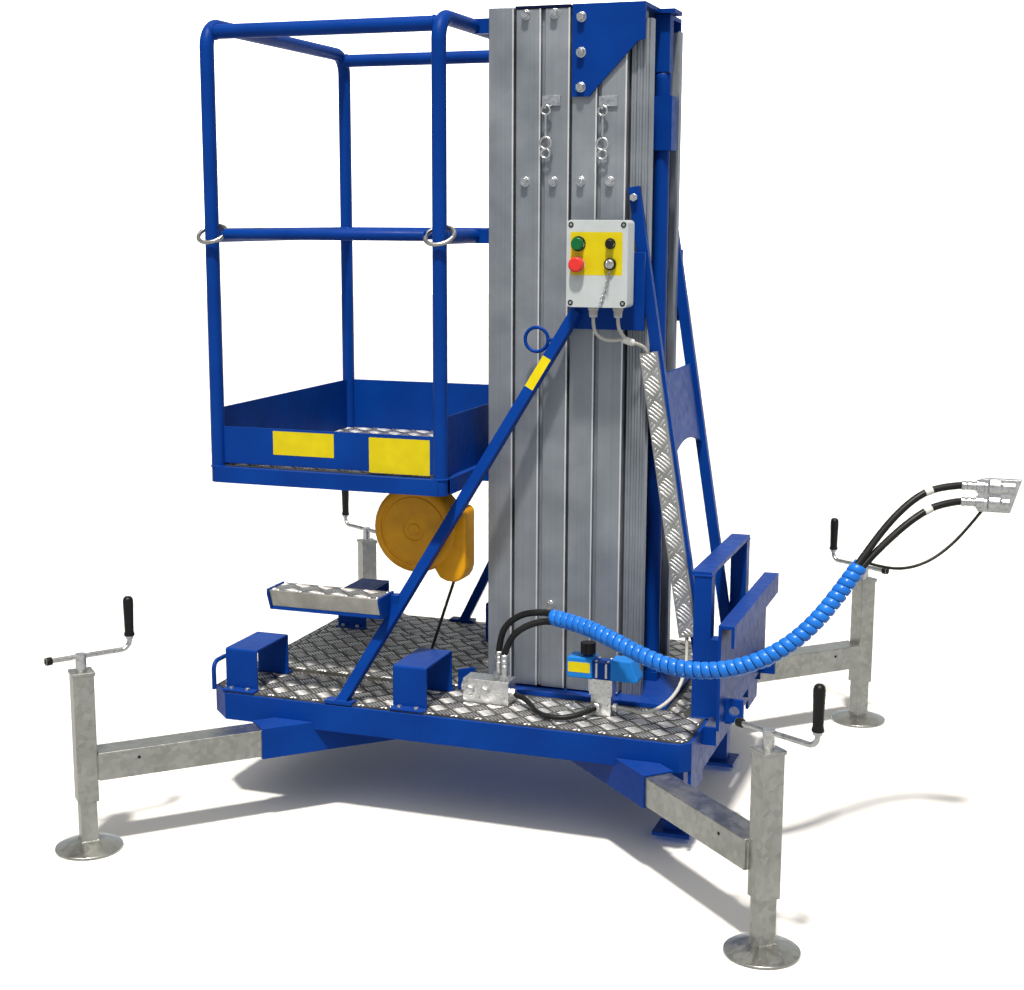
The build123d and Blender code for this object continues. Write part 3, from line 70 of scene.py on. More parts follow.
ahead = Vector((-sin(CAMERA_TURN) * cos(CAMERA_DROP), cos(CAMERA_TURN) * cos(CAMERA_DROP), -sin(CAMERA_DROP)))
level = Vector((cos(CAMERA_TURN), sin(CAMERA_TURN), 0))
below = ahead.cross(level)
sideways = level * cos(CAMERA_ROLL) + below * sin(CAMERA_ROLL)
upward = level * sin(CAMERA_ROLL) - below * cos(CAMERA_ROLL)
camera = bpy.data.objects.new("camera", bpy.data.cameras.new("camera"))
camera.data.lens = CAMERA_LENS
camera.matrix_world = Matrix((sideways, upward, -ahead)).transposed().to_4x4()
camera.location = CAMERA_PLACE
scene.collection.objects.link(camera)
scene.camera = camera


# Finishes
def linear(code):
    """An sRGB hex colour as linear RGBA."""
    parts = [int(code[i:i + 2], 16) / 255 for i in (1, 3, 5)]
    return (*(c / 12.92 if c <= 0.04045 else ((c + 0.055) / 1.055) ** 2.4 for c in parts), 1.0)


def plug(tree, node, inputs):
    """Set a node's inputs. Each is a value, a socket, or a node whose first output is meant."""
    for socket, value in inputs.items():
        if isinstance(value, bpy.types.Node):
            tree.links.new(value.outputs[0], node.inputs[socket])
        elif isinstance(value, bpy.types.NodeSocket):
            tree.links.new(value, node.inputs[socket])
        else:
            node.inputs[socket].default_value = value


def add(tree, kind, inputs=None, stops=(), **settings):
    """A node with its settings, links and, for a colour ramp, its stops."""
    made = tree.nodes.new(kind)
    for key, value in settings.items():
        setattr(made, key, value)
    for count, (position, colour) in enumerate(stops):
        row = made.color_ramp.elements
        stop = row[count] if count < len(row) else row.new(position)
        stop.position, stop.color = position, linear(colour)
    plug(tree, made, inputs or {})
    return made


def per_mm(size):
    """A texture scale for a pattern of that size in millimetres."""
    return 1 / (size * MM)


def finish(name, colour, **sockets):
    """A new material with its even values: itself, its tree, its shader and the place on the object."""
    made = bpy.data.materials.new(name)
    made.use_nodes = True
    made.diffuse_color = linear(colour)
    tree = made.node_tree
    shader = tree.nodes["Principled BSDF"]
    plug(tree, shader, {"Base Color": linear(colour)})
    plug(tree, shader, {socket.replace("_", " "): value for socket, value in sockets.items()})
    return made, tree, shader, add(tree, "ShaderNodeTexCoord").outputs["Object"]


def coat(tree, shader, tone, wear, low, high, relief=None, depth=0.0, strength=1.0):
    """Give a shader its tone, a roughness that follows the wear and, where there is one, a relief."""
    gloss = add(tree, "ShaderNodeMapRange", {"Value": wear, "From Min": 0.3, "From Max": 0.7,
                                             "To Min": low, "To Max": high})
    plug(tree, shader, {"Base Color": tone, "Roughness": gloss})
    if relief:
        bump = add(tree, "ShaderNodeBump", {"Height": relief, "Distance": depth * MM, "Strength": strength})
        plug(tree, shader, {"Normal": bump})


def sprayed_enamel(name, colour, shade):
    """Enamel sprayed on steel: half gloss, faint cloudiness, dust on faces that look up and orange peel."""
    made, tree, shader, place = finish(name, colour, IOR=1.45, Specular_IOR_Level=0.12)
    cloud = add(tree, "ShaderNodeTexNoise", {"Vector": place, "Scale": per_mm(140), "Detail": 3.0})
    paint = add(tree, "ShaderNodeValToRGB", {"Fac": cloud}, ((0.3, shade), (0.7, colour)))
    smear = add(tree, "ShaderNodeTexNoise", {"Vector": place, "Scale": per_mm(24), "Detail": 4.0})
    normal = add(tree, "ShaderNodeNewGeometry").outputs["Normal"]
    facing = add(tree, "ShaderNodeSeparateXYZ", {"Vector": normal})
    tops = add(tree, "ShaderNodeMapRange", {"Value": facing.outputs["Z"], "From Min": 0.6, "From Max": 1.0,
                                            "To Max": 0.05})
    dust = add(tree, "ShaderNodeMath", {0: tops, 1: smear}, operation="MULTIPLY")
    dusty = add(tree, "ShaderNodeMix", {"Factor": dust, "A": paint, "B": linear("#9AA6B8")}, data_type="RGBA")
    # Real orange peel is finer than 5 mm and wouldn't show at this distance.
    peel = add(tree, "ShaderNodeTexNoise", {"Vector": place, "Scale": per_mm(5), "Detail": 1.0})
    coat(tree, shader, dusty.outputs["Result"], smear, 0.34, 0.48, peel, 0.05)
    return made


def mill_aluminium(name, colour, shade):
    """Extruded aluminium as it leaves the die: satin, with drawn lines along the section and dull patches."""
    made, tree, shader, place = finish(name, colour, Metallic=1.0)
    drawn = add(tree, "ShaderNodeMapping", {"Vector": place, "Scale": (per_mm(7), per_mm(7), per_mm(2400))})
    lines = add(tree, "ShaderNodeTexNoise", {"Vector": drawn, "Scale": 1.0, "Detail": 3.0, "Roughness": 0.6})
    patch = add(tree, "ShaderNodeTexNoise", {"Vector": place, "Scale": per_mm(170), "Detail": 5.0,
                                             "Roughness": 0.62})
    both = add(tree, "ShaderNodeMix", {"Factor": 0.8, "A": lines, "B": patch})
    tone = add(tree, "ShaderNodeValToRGB", {"Fac": both}, ((0.34, shade), (0.64, colour)))
    coat(tree, shader, tone, patch, 0.56, 0.7, lines, 0.05)
    return made


def rolled_plate(name, colour, shade, low, high):
    """Rolled aluminium plate: grime in patches and fine scuffs, more or less dulled by use."""
    made, tree, shader, place = finish(name, colour, Metallic=1.0)
    grime = add(tree, "ShaderNodeTexNoise", {"Vector": place, "Scale": per_mm(60), "Detail": 5.0,
                                             "Roughness": 0.65})
    tone = add(tree, "ShaderNodeValToRGB", {"Fac": grime}, ((0.35, shade), (0.65, colour)))
    scuff = add(tree, "ShaderNodeTexNoise", {"Vector": place, "Scale": per_mm(6), "Detail": 3.0})
    coat(tree, shader, tone, scuff, low, high, scuff, 0.08)
    return made


def dipped_zinc(name, colour, shade):
    """Hot-dip galvanised steel: flat crystals of zinc in slightly different greys, with dull runs."""
    made, tree, shader, place = finish(name, colour, Metallic=0.95)
    crystal = add(tree, "ShaderNodeTexVoronoi", {"Vector": place, "Scale": per_mm(14)})
    grey = add(tree, "ShaderNodeSeparateColor", {"Color": crystal.outputs["Color"]})
    run = add(tree, "ShaderNodeTexNoise", {"Vector": place, "Scale": per_mm(80), "Detail": 5.0,
                                           "Roughness": 0.6})
    both = add(tree, "ShaderNodeMix", {"Factor": 0.72, "A": grey, "B": run})
    tone = add(tree, "ShaderNodeValToRGB", {"Fac": both}, ((0.3, shade), (0.7, colour)))
    coat(tree, shader, tone, both, 0.28, 0.42, run, 0.2, 0.6)
    return made


def plated_steel(name, colour, shade, low, high):
    """Plated steel: bright, with a faint mottle."""
    made, tree, shader, place = finish(name, colour, Metallic=1.0)
    mottle = add(tree, "ShaderNodeTexNoise", {"Vector": place, "Scale": per_mm(9), "Detail": 3.0})
    tone = add(tree, "ShaderNodeValToRGB", {"Fac": mottle}, ((0.3, shade), (0.7, colour)))
    coat(tree, shader, tone, mottle, low, high)
    return made


def moulded(name, colour, shade, low, high, grain=1.2, depth=0.04):
    """Moulded plastic, vinyl or rubber: even colour and a fine grain from the mould."""
    made, tree, shader, place = finish(name, colour, IOR=1.48, Specular_IOR_Level=0.35)
    tint = add(tree, "ShaderNodeTexNoise", {"Vector": place, "Scale": per_mm(45), "Detail": 3.0})
    tone = add(tree, "ShaderNodeValToRGB", {"Fac": tint}, ((0.3, shade), (0.7, colour)))
    skin = add(tree, "ShaderNodeTexNoise", {"Vector": place, "Scale": per_mm(grain), "Detail": 2.0})
    coat(tree, shader, tone, tint, low, high, skin, depth)
    return made


BLUE = sprayed_enamel("frame_blue_enamel", "#053D94", "#043485")
# Painted shade: the cap on the second section gets a near-black copy of the frame's blue, as it looks in
# shade
CAP_SHADED_BLUE = sprayed_enamel("cap_blue_enamel_painted_shade", "#101A42", "#0C1434")
VALVE_BLUE = sprayed_enamel("valve_blue_enamel", "#2280D6", "#1E74C4")
MAST = mill_aluminium("mast_mill_aluminium", "#AAB0B8", "#90979F")
# Painted highlight: a near-white copy of the mast's aluminium for the lips along the sections' edges, where
# light catches them
MAST_LIP_HIGHLIGHT = mill_aluminium("mast_lip_painted_highlight", "#F0F2F4", "#DDE0E3")
TREAD = rolled_plate("tread_plate_ground", "#7E7E79", "#5A5A57", 0.64, 0.74)
COVER_PLATE = rolled_plate("cover_plate_ground", "#C4C4C2", "#A0A09E", 0.32, 0.48)
LIP = rolled_plate("tread_plate_lip", "#C8C7C1", "#A8A7A2", 0.3, 0.46)
BARS = rolled_plate("tread_plate_bars", "#E8E8E8", "#D2D3D3", 0.42, 0.54)
GALVANISED = dipped_zinc("galvanised_steel", "#C8C9C4", "#ACADA8")
ZINC = plated_steel("zinc_plated_steel", "#E6E7E8", "#C6C8CA", 0.26, 0.4)
CHROME = plated_steel("hard_chrome_rod", "#DADCDE", "#C8CACD", 0.08, 0.16)
BOX_GREY = moulded("box_polycarbonate", "#C4CBCE", "#BAC1C4", 0.34, 0.44)
LEAD_GREY = moulded("lead_pvc", "#C4C3BD", "#ADACA6", 0.4, 0.5)
GREEN_CAP = moulded("start_cap_green", "#06713A", "#055F30", 0.26, 0.34)
RED_CAP = moulded("stop_cap_red", "#EA3A38", "#D6302E", 0.28, 0.36)
BLACK = moulded("grip_black_pvc", "#171719", "#0D0D0E", 0.36, 0.48)
HOSE = moulded("hose_black_rubber", "#191A1C", "#0E0F10", 0.42, 0.54, 1.6, 0.08)
GUARD = moulded("guard_blue_polyethylene", "#2078DC", "#1A6AC8", 0.24, 0.34)
REEL_YELLOW = moulded("reel_yellow_abs", "#E2A002", "#D19001", 0.34, 0.44, 1.5, 0.05)
LABEL = moulded("label_yellow_vinyl", "#DECB04", "#D0BD02", 0.34, 0.42, 3.0, 0.01)
TAPE = moulded("tape_white_pvc", "#E4E4E0", "#D2D2CE", 0.36, 0.44)


# Forms: each is a list of points in millimetres and a list of faces
def joined(*forms):
    """Several forms as one."""
    points, faces = [], []
    for more_points, more_faces in forms:
        shift = len(points)
        points += [Vector(p) for p in more_points]
        faces += [[i + shift for i in face] for face in more_faces]
    return points, faces


def skinned(rings, closed=False):
    """Rings of equal count joined by quads, with flat caps at the ends unless the row closes on itself."""
    count = len(rings[0])
    points = [Vector(p) for ring in rings for p in ring]
    faces = []
    for row in range(len(rings) if closed else len(rings) - 1):
        a, b = row * count, (row + 1) % len(rings) * count
        faces += [[a + i, a + (i + 1) % count, b + (i + 1) % count, b + i] for i in range(count)]
    if not closed:
        faces.append(list(range(count))[::-1])
        faces.append([len(points) - count + i for i in range(count)])
    return points, faces


def frame_about(axis):
    """Two directions square to an axis and to each other."""
    axis = Vector(axis).normalized()
    across = axis.orthogonal().normalized()
    return across, axis.cross(across)


def circle(radius, sides=20):
    """A round outline about its middle."""
    return [(radius * cos(2 * pi * i / sides), radius * sin(2 * pi * i / sides)) for i in range(sides)]


def ring_points(middle, axis, radius, sides=40):
    """Points of a closed circle in space."""
    across, up = frame_about(axis)
    return [Vector(middle) + across * a + up * b for a, b in circle(radius, sides)]


def turned(profile, foot, axis, sides=32):
    """A profile of (radius, height) pairs turned about an axis from a foot point."""
    axis = Vector(axis).normalized()
    return skinned([ring_points(Vector(foot) + axis * height, axis, max(radius, 0.02), sides)
                    for radius, height in profile])


def swept(path, outline, side=None, closed=False, scale=None):
    """An outline carried along a path with mitred corners. side is its first direction at the start."""
    path = [Vector(p) for p in path]
    count = len(path)
    runs = [(path[(i + 1) % count] - path[i]).normalized() for i in range(count if closed else count - 1)]
    first = Vector(side) if side else runs[0].orthogonal()
    before = runs[-1] if closed else runs[0]
    across = (first - first.dot(before) * before).normalized()
    rings = []
    for i, point in enumerate(path):
        after = runs[i] if i < len(runs) else runs[-1]
        arrive = runs[i - 1] if i or closed else after
        across = (before.rotation_difference(arrive) @ across).normalized()
        before = arrive
        up = arrive.cross(across)
        mitre = (arrive + after).normalized()
        grow = scale[i] if scale else 1.0
        ring = []
        for a, b in outline:
            spot = point + (across * a + up * b) * grow
            ring.append(spot + arrive * ((point - spot).dot(mitre) / max(arrive.dot(mitre), 0.3)))
        rings.append(ring)
    return skinned(rings, closed)


def block(x, y, z):
    """A box from its low and high values along X, Y and Z."""
    corners = [(x[0], y[0]), (x[1], y[0]), (x[1], y[1]), (x[0], y[1])]
    return skinned([[(a, b, height) for a, b in corners] for height in z])


def slab(outline, back, front):
    """A plate: an outline of X and Z given its thickness along Y."""
    return skinned([[(a, y, b) for a, b in outline] for y in (back, front)])


def pierced(outline, holes, back, front):
    """A plate of X and Z with holes, given its thickness along Y."""
    loops = [outline, *holes]
    points = [Vector((a, y, b)) for y in (back, front) for loop in loops for a, b in loop]
    half = len(points) // 2
    cover = tessellate_polygon([[Vector((a, b, 0)) for a, b in loop] for loop in loops])
    faces = [list(face) for face in cover] + [[i + half for i in face] for face in cover]
    start = 0
    for loop in loops:
        for i in range(len(loop)):
            a, b = start + i, start + (i + 1) % len(loop)
            faces.append([a, b, b + half, a + half])
        start += len(loop)
    return points, faces


def rounded(x, z, radius, steps=5):
    """An outline of X and Z with round corners, seen from the entry side."""
    outline = []
    for turn, (a, b) in enumerate(((x[1] - radius, z[1] - radius), (x[0] + radius, z[1] - radius),
                                   (x[0] + radius, z[0] + radius), (x[1] - radius, z[0] + radius))):
        for step in range(steps + 1):
            angle = pi / 2 * (turn + step / steps)
            outline.append((a + radius * cos(angle), b + radius * sin(angle)))
    return outline


def torus(middle, axis, radius, wire, sides=36):
    """A round ring of wire."""
    return swept(ring_points(middle, axis, radius, sides), circle(wire, 12), axis, closed=True)


def weld(points, radius=2.6, closed=True):
    """A rippled bead along a seam."""
    points = [Vector(p) for p in points]
    line = []
    for a, b in zip(points, points[1:] + points[:1] if closed else points[1:]):
        parts = max(1, round((b - a).length / 3.2))
        line += [a.lerp(b, i / parts) for i in range(parts)]
    swell = [1 + 0.14 * sin(i * 2.1) + 0.06 * sin(i * 0.7) for i in range(len(line))]
    return swept(line, circle(radius, 6), closed=closed, scale=swell)


def nut(foot, axis, across, height):
    """A hexagon nut or bolt head with a chamfered top."""
    radius = across / cos(pi / 6) / 2
    return turned([(radius, 0), (radius, height * 0.82), (radius * 0.9, height)], foot, axis, 6)


def crimps(radius, neck):
    """The part of a hose ferrule's profile with its two crimped grooves."""
    return [(radius, 9), (neck, 10.5), (neck, 13), (radius, 14.5),
            (radius, 23), (neck, 24.5), (neck, 27), (radius, 28.5)]


def hitch_side(run):
    """The direction square to a sloping run that points most towards the hitch."""
    return (TO_HITCH - run.x * run).normalized()


def mirrored(form):
    """The form on the other side of the centre plane."""
    points, faces = form
    return [Vector((p[0], -p[1], p[2])) for p in points], [face[::-1] for face in faces]


def pair(*forms):
    """Forms and their mirror images."""
    whole = joined(*forms)
    return joined(whole, mirrored(whole))


# Pieces
FOLD = radians(32)         # edges that fold more are rounded


def edged(piece, edge):
    """Round a piece's edges by a bevel, with shading weighted to its flat faces."""
    bevel = piece.modifiers.new("edges", "BEVEL")
    bevel.width, bevel.segments = edge * MM, 2
    bevel.limit_method, bevel.angle_limit = "ANGLE", FOLD
    bevel.miter_outer = "MITER_ARC"
    piece.modifiers.new("flat_faces", "WEIGHTED_NORMAL").keep_sharp = True


def make(name, body, material, slot, *forms, edge=0.0, replaces=()):
    """A piece from forms in millimetres that rides on a body."""
    points, faces = joined(*forms)
    mesh = bpy.data.meshes.new(name)
    mesh.from_pydata([tuple(p * MM) for p in points], [], faces)
    mesh.validate()
    shell = bmesh.new()
    shell.from_mesh(mesh)
    bmesh.ops.recalc_face_normals(shell, faces=shell.faces)
    shell.to_mesh(mesh)
    shell.free()
    mesh.materials.append(material)
    mesh.polygons.foreach_set("use_smooth", [True] * len(mesh.polygons))
    if not edge:
        mesh.set_sharp_from_angle(angle=radians(40))
    piece = bpy.data.objects.new(name, mesh)
    scene.collection.objects.link(piece)
    if edge:
        edged(piece, edge)
    if body:
        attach(piece, body)
    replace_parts(piece, *replaces)
    return piece


# Cords
GUARD_ROUTE = (
    (185, -290, 545), (273, -330, 544), (364, -380, 530), (450, -420, 507), (520, -446, 493),
    (607, -456, 490), (698, -450, 507), (775, -430, 542), (840, -400, 593), (898, -360, 665),
    (951, -310, 749),
)
HOSE_TAIL_A = (
    (41, -276, 440), (46, -277, 486), (70, -279, 520), (105, -283, 543), (145, -287, 553), (185, -290, 555),
)
HOSE_TAIL_B = ((66, -306, 440), (78, -304, 479), (105, -299, 508), (143, -294, 527), (185, -290, 535))
HOSE_END_A = ((951, -310, 759), (1002, -272, 838), (1056, -236, 895), (1106, -204, 919), (1158, -180, 922))
HOSE_END_B = ((951, -310, 739), (1010, -272, 805), (1062, -240, 852), (1112, -206, 880), (1158, -180, 884))
COUPLER_LEAD = (
    (968, -302, 745), (1010, -290, 733), (1058, -262, 733), (1102, -236, 750), (1142, -212, 782),
    (1176, -194, 822), (1206, -180, 864),
)
GLAND_X, GLAND_Y, GLAND_Z = (282, 344), -278, 1325
CONTROL_LEAD_A = (
    (GLAND_X[0], GLAND_Y, 1300), (282, -278, 1269), (299, -270, 1248), (322, -256, 1241), (348, -240, 1245),
)
CONTROL_LEAD_B = ((GLAND_X[1], GLAND_Y, 1300), (344, -277, 1280), (347, -262, 1262), (353, -240, 1248))
COVER_LEAD = ((370, -226, 1236), (384, -211, 1231), (395, -197, 1219), (401, -190, 1198))
VALVE_LEAD = (
    (512, -192, 520), (518, -202, 455), (520, -250, 408), (511, -308, 376), (478, -346, 350),
    (436, -344, 334), (394, -312, 334), (353, -312, 334),
)
DECK_HOSE = (
    (82, -300, 338), (120, -312, 334), (150, -344, 327), (178, -382, 321), (220, -404, 320), (264, -398, 322),
    (298, -366, 328), (318, -322, 332),
)
REEL_CABLE = ((-198, -205, 337), (-94, -242, 612))
HOSE_RADIUS, GUARD_RADIUS, COUPLER_LEAD_RADIUS = 8.5, 21, 3.5
LEAD_RADIUS, DECK_HOSE_RADIUS, REEL_CABLE_RADIUS = 4.5, 7, 4
HOSE_APART = 10            # each hose from the guard's middle
LEADS = (                  # name, route and length
    ("valve_lead", VALVE_LEAD, 387), ("control_lead_a", CONTROL_LEAD_A, 116),
    ("control_lead_b", CONTROL_LEAD_B, 70), ("cover_lead", COVER_LEAD, 65),
)
GUARD_PITCH, GUARD_WALL, GUARD_STEPS = 20, 5, 18


def route_curve(name, route, radius):
    """A curve on a route's points, smooth between them."""
    curve = bpy.data.curves.new(name, "CURVE")
    curve.dimensions = "3D"
    curve.bevel_depth, curve.bevel_resolution, curve.use_fill_caps = radius * MM, 5, True
    spline = curve.splines.new("NURBS")
    spline.points.add(len(route) - 1)
    for point, place in zip(spline.points, route):
        point.co = (*(Vector(place) * MM), 1)
    spline.order_u = 3
    spline.use_endpoint_u = True
    spline.resolution_u = 16
    return bpy.data.objects.new(name, curve)


def route_line(route):
    """Points of the route's smooth line, in millimetres."""
    mesh = bpy.data.meshes.new_from_object(route_curve("line", route, 0))
    return [v.co / MM for v in mesh.vertices]


def cord(name, route, radius, material, node):
    """A round cord along its route that stands for a node and rides on the chassis."""
    piece = route_curve(name, route, radius)
    piece.data.materials.append(material)
    scene.collection.objects.link(piece)
    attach(piece, "chassis")
    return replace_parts(piece, node)


def beside(route, rise):
    """A route moved up or down."""
    return tuple((x, y, z + rise) for x, y, z in route)


def spiral(line, radius, wall, pitch):
    """A ribbon wound round a line, turn by turn, with a crowned outside."""
    lengths = [0.0]
    for a, b in zip(line, line[1:]):
        lengths.append(lengths[-1] + (b - a).length)
    turns = lengths[-1] / pitch - 0.9
    half = pitch * 0.46
    ribbon = [(-half, -wall), (-half, -wall * 0.45), (-half * 0.6, -wall * 0.08), (0, 0),
              (half * 0.6, -wall * 0.08), (half, -wall * 0.45), (half, -wall)]
    across = None
    place = 0
    rings = []
    for step in range(int(turns * GUARD_STEPS) + 1):
        along = half + pitch * step / GUARD_STEPS
        while lengths[place + 1] < along and place < len(line) - 2:
            place += 1
        run = (line[place + 1] - line[place]).normalized()
        middle = line[place] + run * (along - lengths[place])
        across = run.orthogonal() if across is None else across - across.dot(run) * run
        across.normalize()
        turn = 2 * pi * step / GUARD_STEPS
        out = across * cos(turn) + run.cross(across) * sin(turn)
        rings.append([middle + run * a + out * (radius + b) for a, b in ribbon])
    return skinned(rings)


hose_a = cord("loader_hose_a", HOSE_TAIL_A + beside(GUARD_ROUTE[1:-1], HOSE_APART) + HOSE_END_A,
              HOSE_RADIUS, HOSE, "loader_hoses")
hose_b = cord("loader_hose_b", HOSE_TAIL_B + beside(GUARD_ROUTE[1:-1], -HOSE_APART) + HOSE_END_B,
              HOSE_RADIUS, HOSE, "loader_hoses")
coupler_lead = cord("coupler_lead", COUPLER_LEAD, COUPLER_LEAD_RADIUS, HOSE, "loader_hoses")
deck_hose = cord("deck_hose_loop", DECK_HOSE, DECK_HOSE_RADIUS, HOSE, "deck_hose")
leads = {name: cord(name, route, LEAD_RADIUS, LEAD_GREY, "control_leads")
         for name, route, length in sorted(LEADS)}

guard_line = route_line(GUARD_ROUTE)
guard = make("hose_spiral_guard", "chassis", GUARD, "guard_blue",
             spiral(guard_line, GUARD_RADIUS, GUARD_WALL, GUARD_PITCH), replaces=("hose_guard",))

# Sleeve where the control leads join, and tape rings on the loader hoses
SLEEVE_RADIUS = 9
sleeve_start = Vector(CONTROL_LEAD_A[-1])
sleeve_run = Vector(COVER_LEAD[0]) - sleeve_start
sleeve_length = sleeve_run.length
make("lead_sleeve", "chassis", TAPE, "lead_grey", turned(
    [(5, -3), (SLEEVE_RADIUS - 1, 0), (SLEEVE_RADIUS, 3), (SLEEVE_RADIUS, sleeve_length - 3),
     (SLEEVE_RADIUS - 1, sleeve_length), (5, sleeve_length + 3)],
    sleeve_start, sleeve_run, 20), replaces=("control_leads",))

TAPE_WIDTH, TAPE_PROUD = 20, 0.8


def tape_ring(route, near):
    """A ring of tape on a hose, at the place on its line nearest to a point."""
    line = route_line(route)
    at = min(range(len(line)), key=lambda i: (line[i] - Vector(near)).length)
    run = (line[at + 1] - line[at - 1]).normalized()
    outer = HOSE_RADIUS + TAPE_PROUD
    return turned([(HOSE_RADIUS, 0), (outer, 0.6), (outer, TAPE_WIDTH - 0.6), (HOSE_RADIUS, TAPE_WIDTH)],
                  line[at] - run * TAPE_WIDTH / 2, run, 24)


tape_rings = make("hose_tape_rings", "chassis", TAPE, "hose_rubber",
                  tape_ring(HOSE_END_A, (1085, -218, 909)), tape_ring(HOSE_END_B, (1088, -222, 866)))

# Multi-coupler: a slanted plate with two couplings and the hoses' ferrules
COUPLER_X, COUPLER_Y, COUPLER_Z = (1196, 1292), -180, (864, 942)
COUPLER_HALF, COUPLER_SLANT, COUPLER_CHAMFER = 11, 22, 8
plate_outline = [(COUPLER_X[0], COUPLER_Z[0]), (COUPLER_X[1] - COUPLER_SLANT, COUPLER_Z[0]),
                 (COUPLER_X[1], COUPLER_Z[1]), (COUPLER_X[0] + COUPLER_CHAMFER, COUPLER_Z[1]),
                 (COUPLER_X[0], COUPLER_Z[1] - COUPLER_CHAMFER)]
coupler_parts = [slab(plate_outline, COUPLER_Y + COUPLER_HALF, COUPLER_Y - COUPLER_HALF)]
for hose_end in (HOSE_END_A[-1], HOSE_END_B[-1]):
    share_down = (COUPLER_Z[1] - hose_end[2]) / (COUPLER_Z[1] - COUPLER_Z[0])
    plate_reach = COUPLER_X[1] - COUPLER_SLANT * share_down - hose_end[0]
    coupler_parts.append(turned(
        [(9, 0), (11, 1.5), *crimps(11, 9.6), (11, 34), (16, 34.5), (16, 52), (14, 53), (14, 60), (19, 61),
         (21, 64), (21, 88), (19, 91), (17, 92), (17, plate_reach - 8)], hose_end, TO_HITCH, 28))
multi_coupler = make("oil_multi_coupler", "chassis", ZINC, "galvanised", *coupler_parts, edge=0.8,
                     replaces=("multi_coupler",))

# The reel's cable pays out of the reel as the basket climbs
REEL_CABLE_STEPS = 24
cable_foot, cable_top = (Vector(p) for p in REEL_CABLE)
cable_path = [cable_foot.lerp(cable_top, i / REEL_CABLE_STEPS) for i in range(REEL_CABLE_STEPS + 1)]
reel_cable = make("reel_cable_run", None, HOSE, "hose_rubber",
                  swept(cable_path, circle(REEL_CABLE_RADIUS, 12)), replaces=("reel_cable",))
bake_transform(reel_cable)


# The frame's own solids: clean shading, rounded edges and a finish
clean = bpy.data.node_groups.new("clean_solid", "GeometryNodeTree")
clean.interface.new_socket("Geometry", in_out="INPUT", socket_type="NodeSocketGeometry")
clean.interface.new_socket("Geometry", in_out="OUTPUT", socket_type="NodeSocketGeometry")
solid = add(clean, "NodeGroupInput")
bare = add(clean, "GeometryNodeRemoveAttribute", {"Geometry": solid, "Name": "custom_normal"})
whole = add(clean, "GeometryNodeMergeByDistance", {"Geometry": bare, "Distance": 0.01 * MM})
soft = add(clean, "GeometryNodeSetShadeSmooth", {"Geometry": whole, "Shade Smooth": True})
fold = add(clean, "GeometryNodeInputMeshEdgeAngle")
folded = add(clean, "FunctionNodeCompare", {"A": fold, "B": FOLD})
shared = add(clean, "FunctionNodeCompare", {2: add(clean, "GeometryNodeInputMeshEdgeNeighbors"), 3: 2},
             data_type="INT", operation="NOT_EQUAL")
hard = add(clean, "FunctionNodeBooleanMath", {0: folded, 1: shared}, operation="OR")
crisp = add(clean, "GeometryNodeSetShadeSmooth", {"Geometry": soft, "Selection": hard, "Shade Smooth": False},
            domain="EDGE")
add(clean, "NodeGroupOutput", {"Geometry": crisp})


def dress(node, material, edge):
    """Give a solid of the frame its finish and rounded edges."""
    piece = nodes[node]
    piece.data.materials.clear()
    piece.data.materials.append(material)
    piece.modifiers.new("clean", "NODES").node_group = clean
    flat = piece.modifiers.new("flat", "DECIMATE")
    flat.decimate_type, flat.angle_limit = "DISSOLVE", radians(0.5)
    edged(piece, edge)


for node, material, edge in (
    ("base_frame", BLUE, 1.2), ("deck_plates", TREAD, 0.8), ("fork_pockets", BLUE, 1.5),
    ("front_braces", BLUE, 2.0), ("step_tread", LIP, 1.5), ("mast_collar", BLUE, 1.2),
    ("rear_braces", BLUE, 2.0), ("cable_cover", COVER_PLATE, 0.8), ("fixed_mast", MAST, 1.0),
    ("cylinder_barrel", BLUE, 2.0), ("hitch_frame", BLUE, 1.5),
    ("control_case", BOX_GREY, 1.5), ("control_lid", BOX_GREY, 2.0), ("port_block", ZINC, 1.2),
    ("valve_knob", BLACK, 1.0), ("chassis_fasteners", ZINC, 1.0),
    ("mast_section_1", MAST, 3.0), ("lift_gusset", BLUE, 1.2), ("section_1_fasteners", ZINC, 1.0),
    ("snap_hook_1", ZINC, 0.2), ("chain_pulley_1", ZINC, 0.5),
    ("mast_section_2", MAST, 3.0), ("section_2_cap", CAP_SHADED_BLUE, 1.0), ("section_2_fasteners", ZINC, 1.0),
    ("snap_hook_2", ZINC, 0.2), ("chain_pulley_2", ZINC, 0.5), ("mast_section_3", MAST, 3.0),
    ("basket_frame", BLUE, 0.8), ("basket_floor", TREAD, 0.8), ("toe_boards", BLUE, 0.6),
    ("start_button", GREEN_CAP, 0.6), ("stop_button", RED_CAP, 0.6), ("lower_button", BLACK, 0.6),
):
    dress(node, material, edge)
for corner in CORNERS:
    dress(f"arm_{corner}", GALVANISED, 3.0)
    dress(f"leg_{corner}", GALVANISED, 2.0)
    dress(f"crank_{corner}", ZINC, 0.6)

# Tread plate: five-bar groups on a square lattice, the other way round halfway between
TREAD_PITCH = 64
BAR_LENGTH, BAR_WIDTH, BAR_SPACING, BAR_HEIGHT = 39, 5.6, 8.6, 1.6
BAR_OUTLINE = ((1, 0), (0.72, 0.75), (0, 1), (-0.72, 0.75), (-1, 0), (-0.72, -0.75), (0, -1), (0.72, -0.75))
BAR_CROWN, BAR_STEPS = 0.62, 12


def tread_bar(start, end, aside, out):
    """One raised bar: a pointed oval foot and a smaller crown."""
    middle, along = (start + end) / 2, (end - start) / 2
    return skinned([[middle + along * (a * share) + aside * (b * share * BAR_WIDTH / 2) + out * height
                     for a, b in BAR_OUTLINE] for share, height in ((1.0, 0.0), (BAR_CROWN, BAR_HEIGHT))])


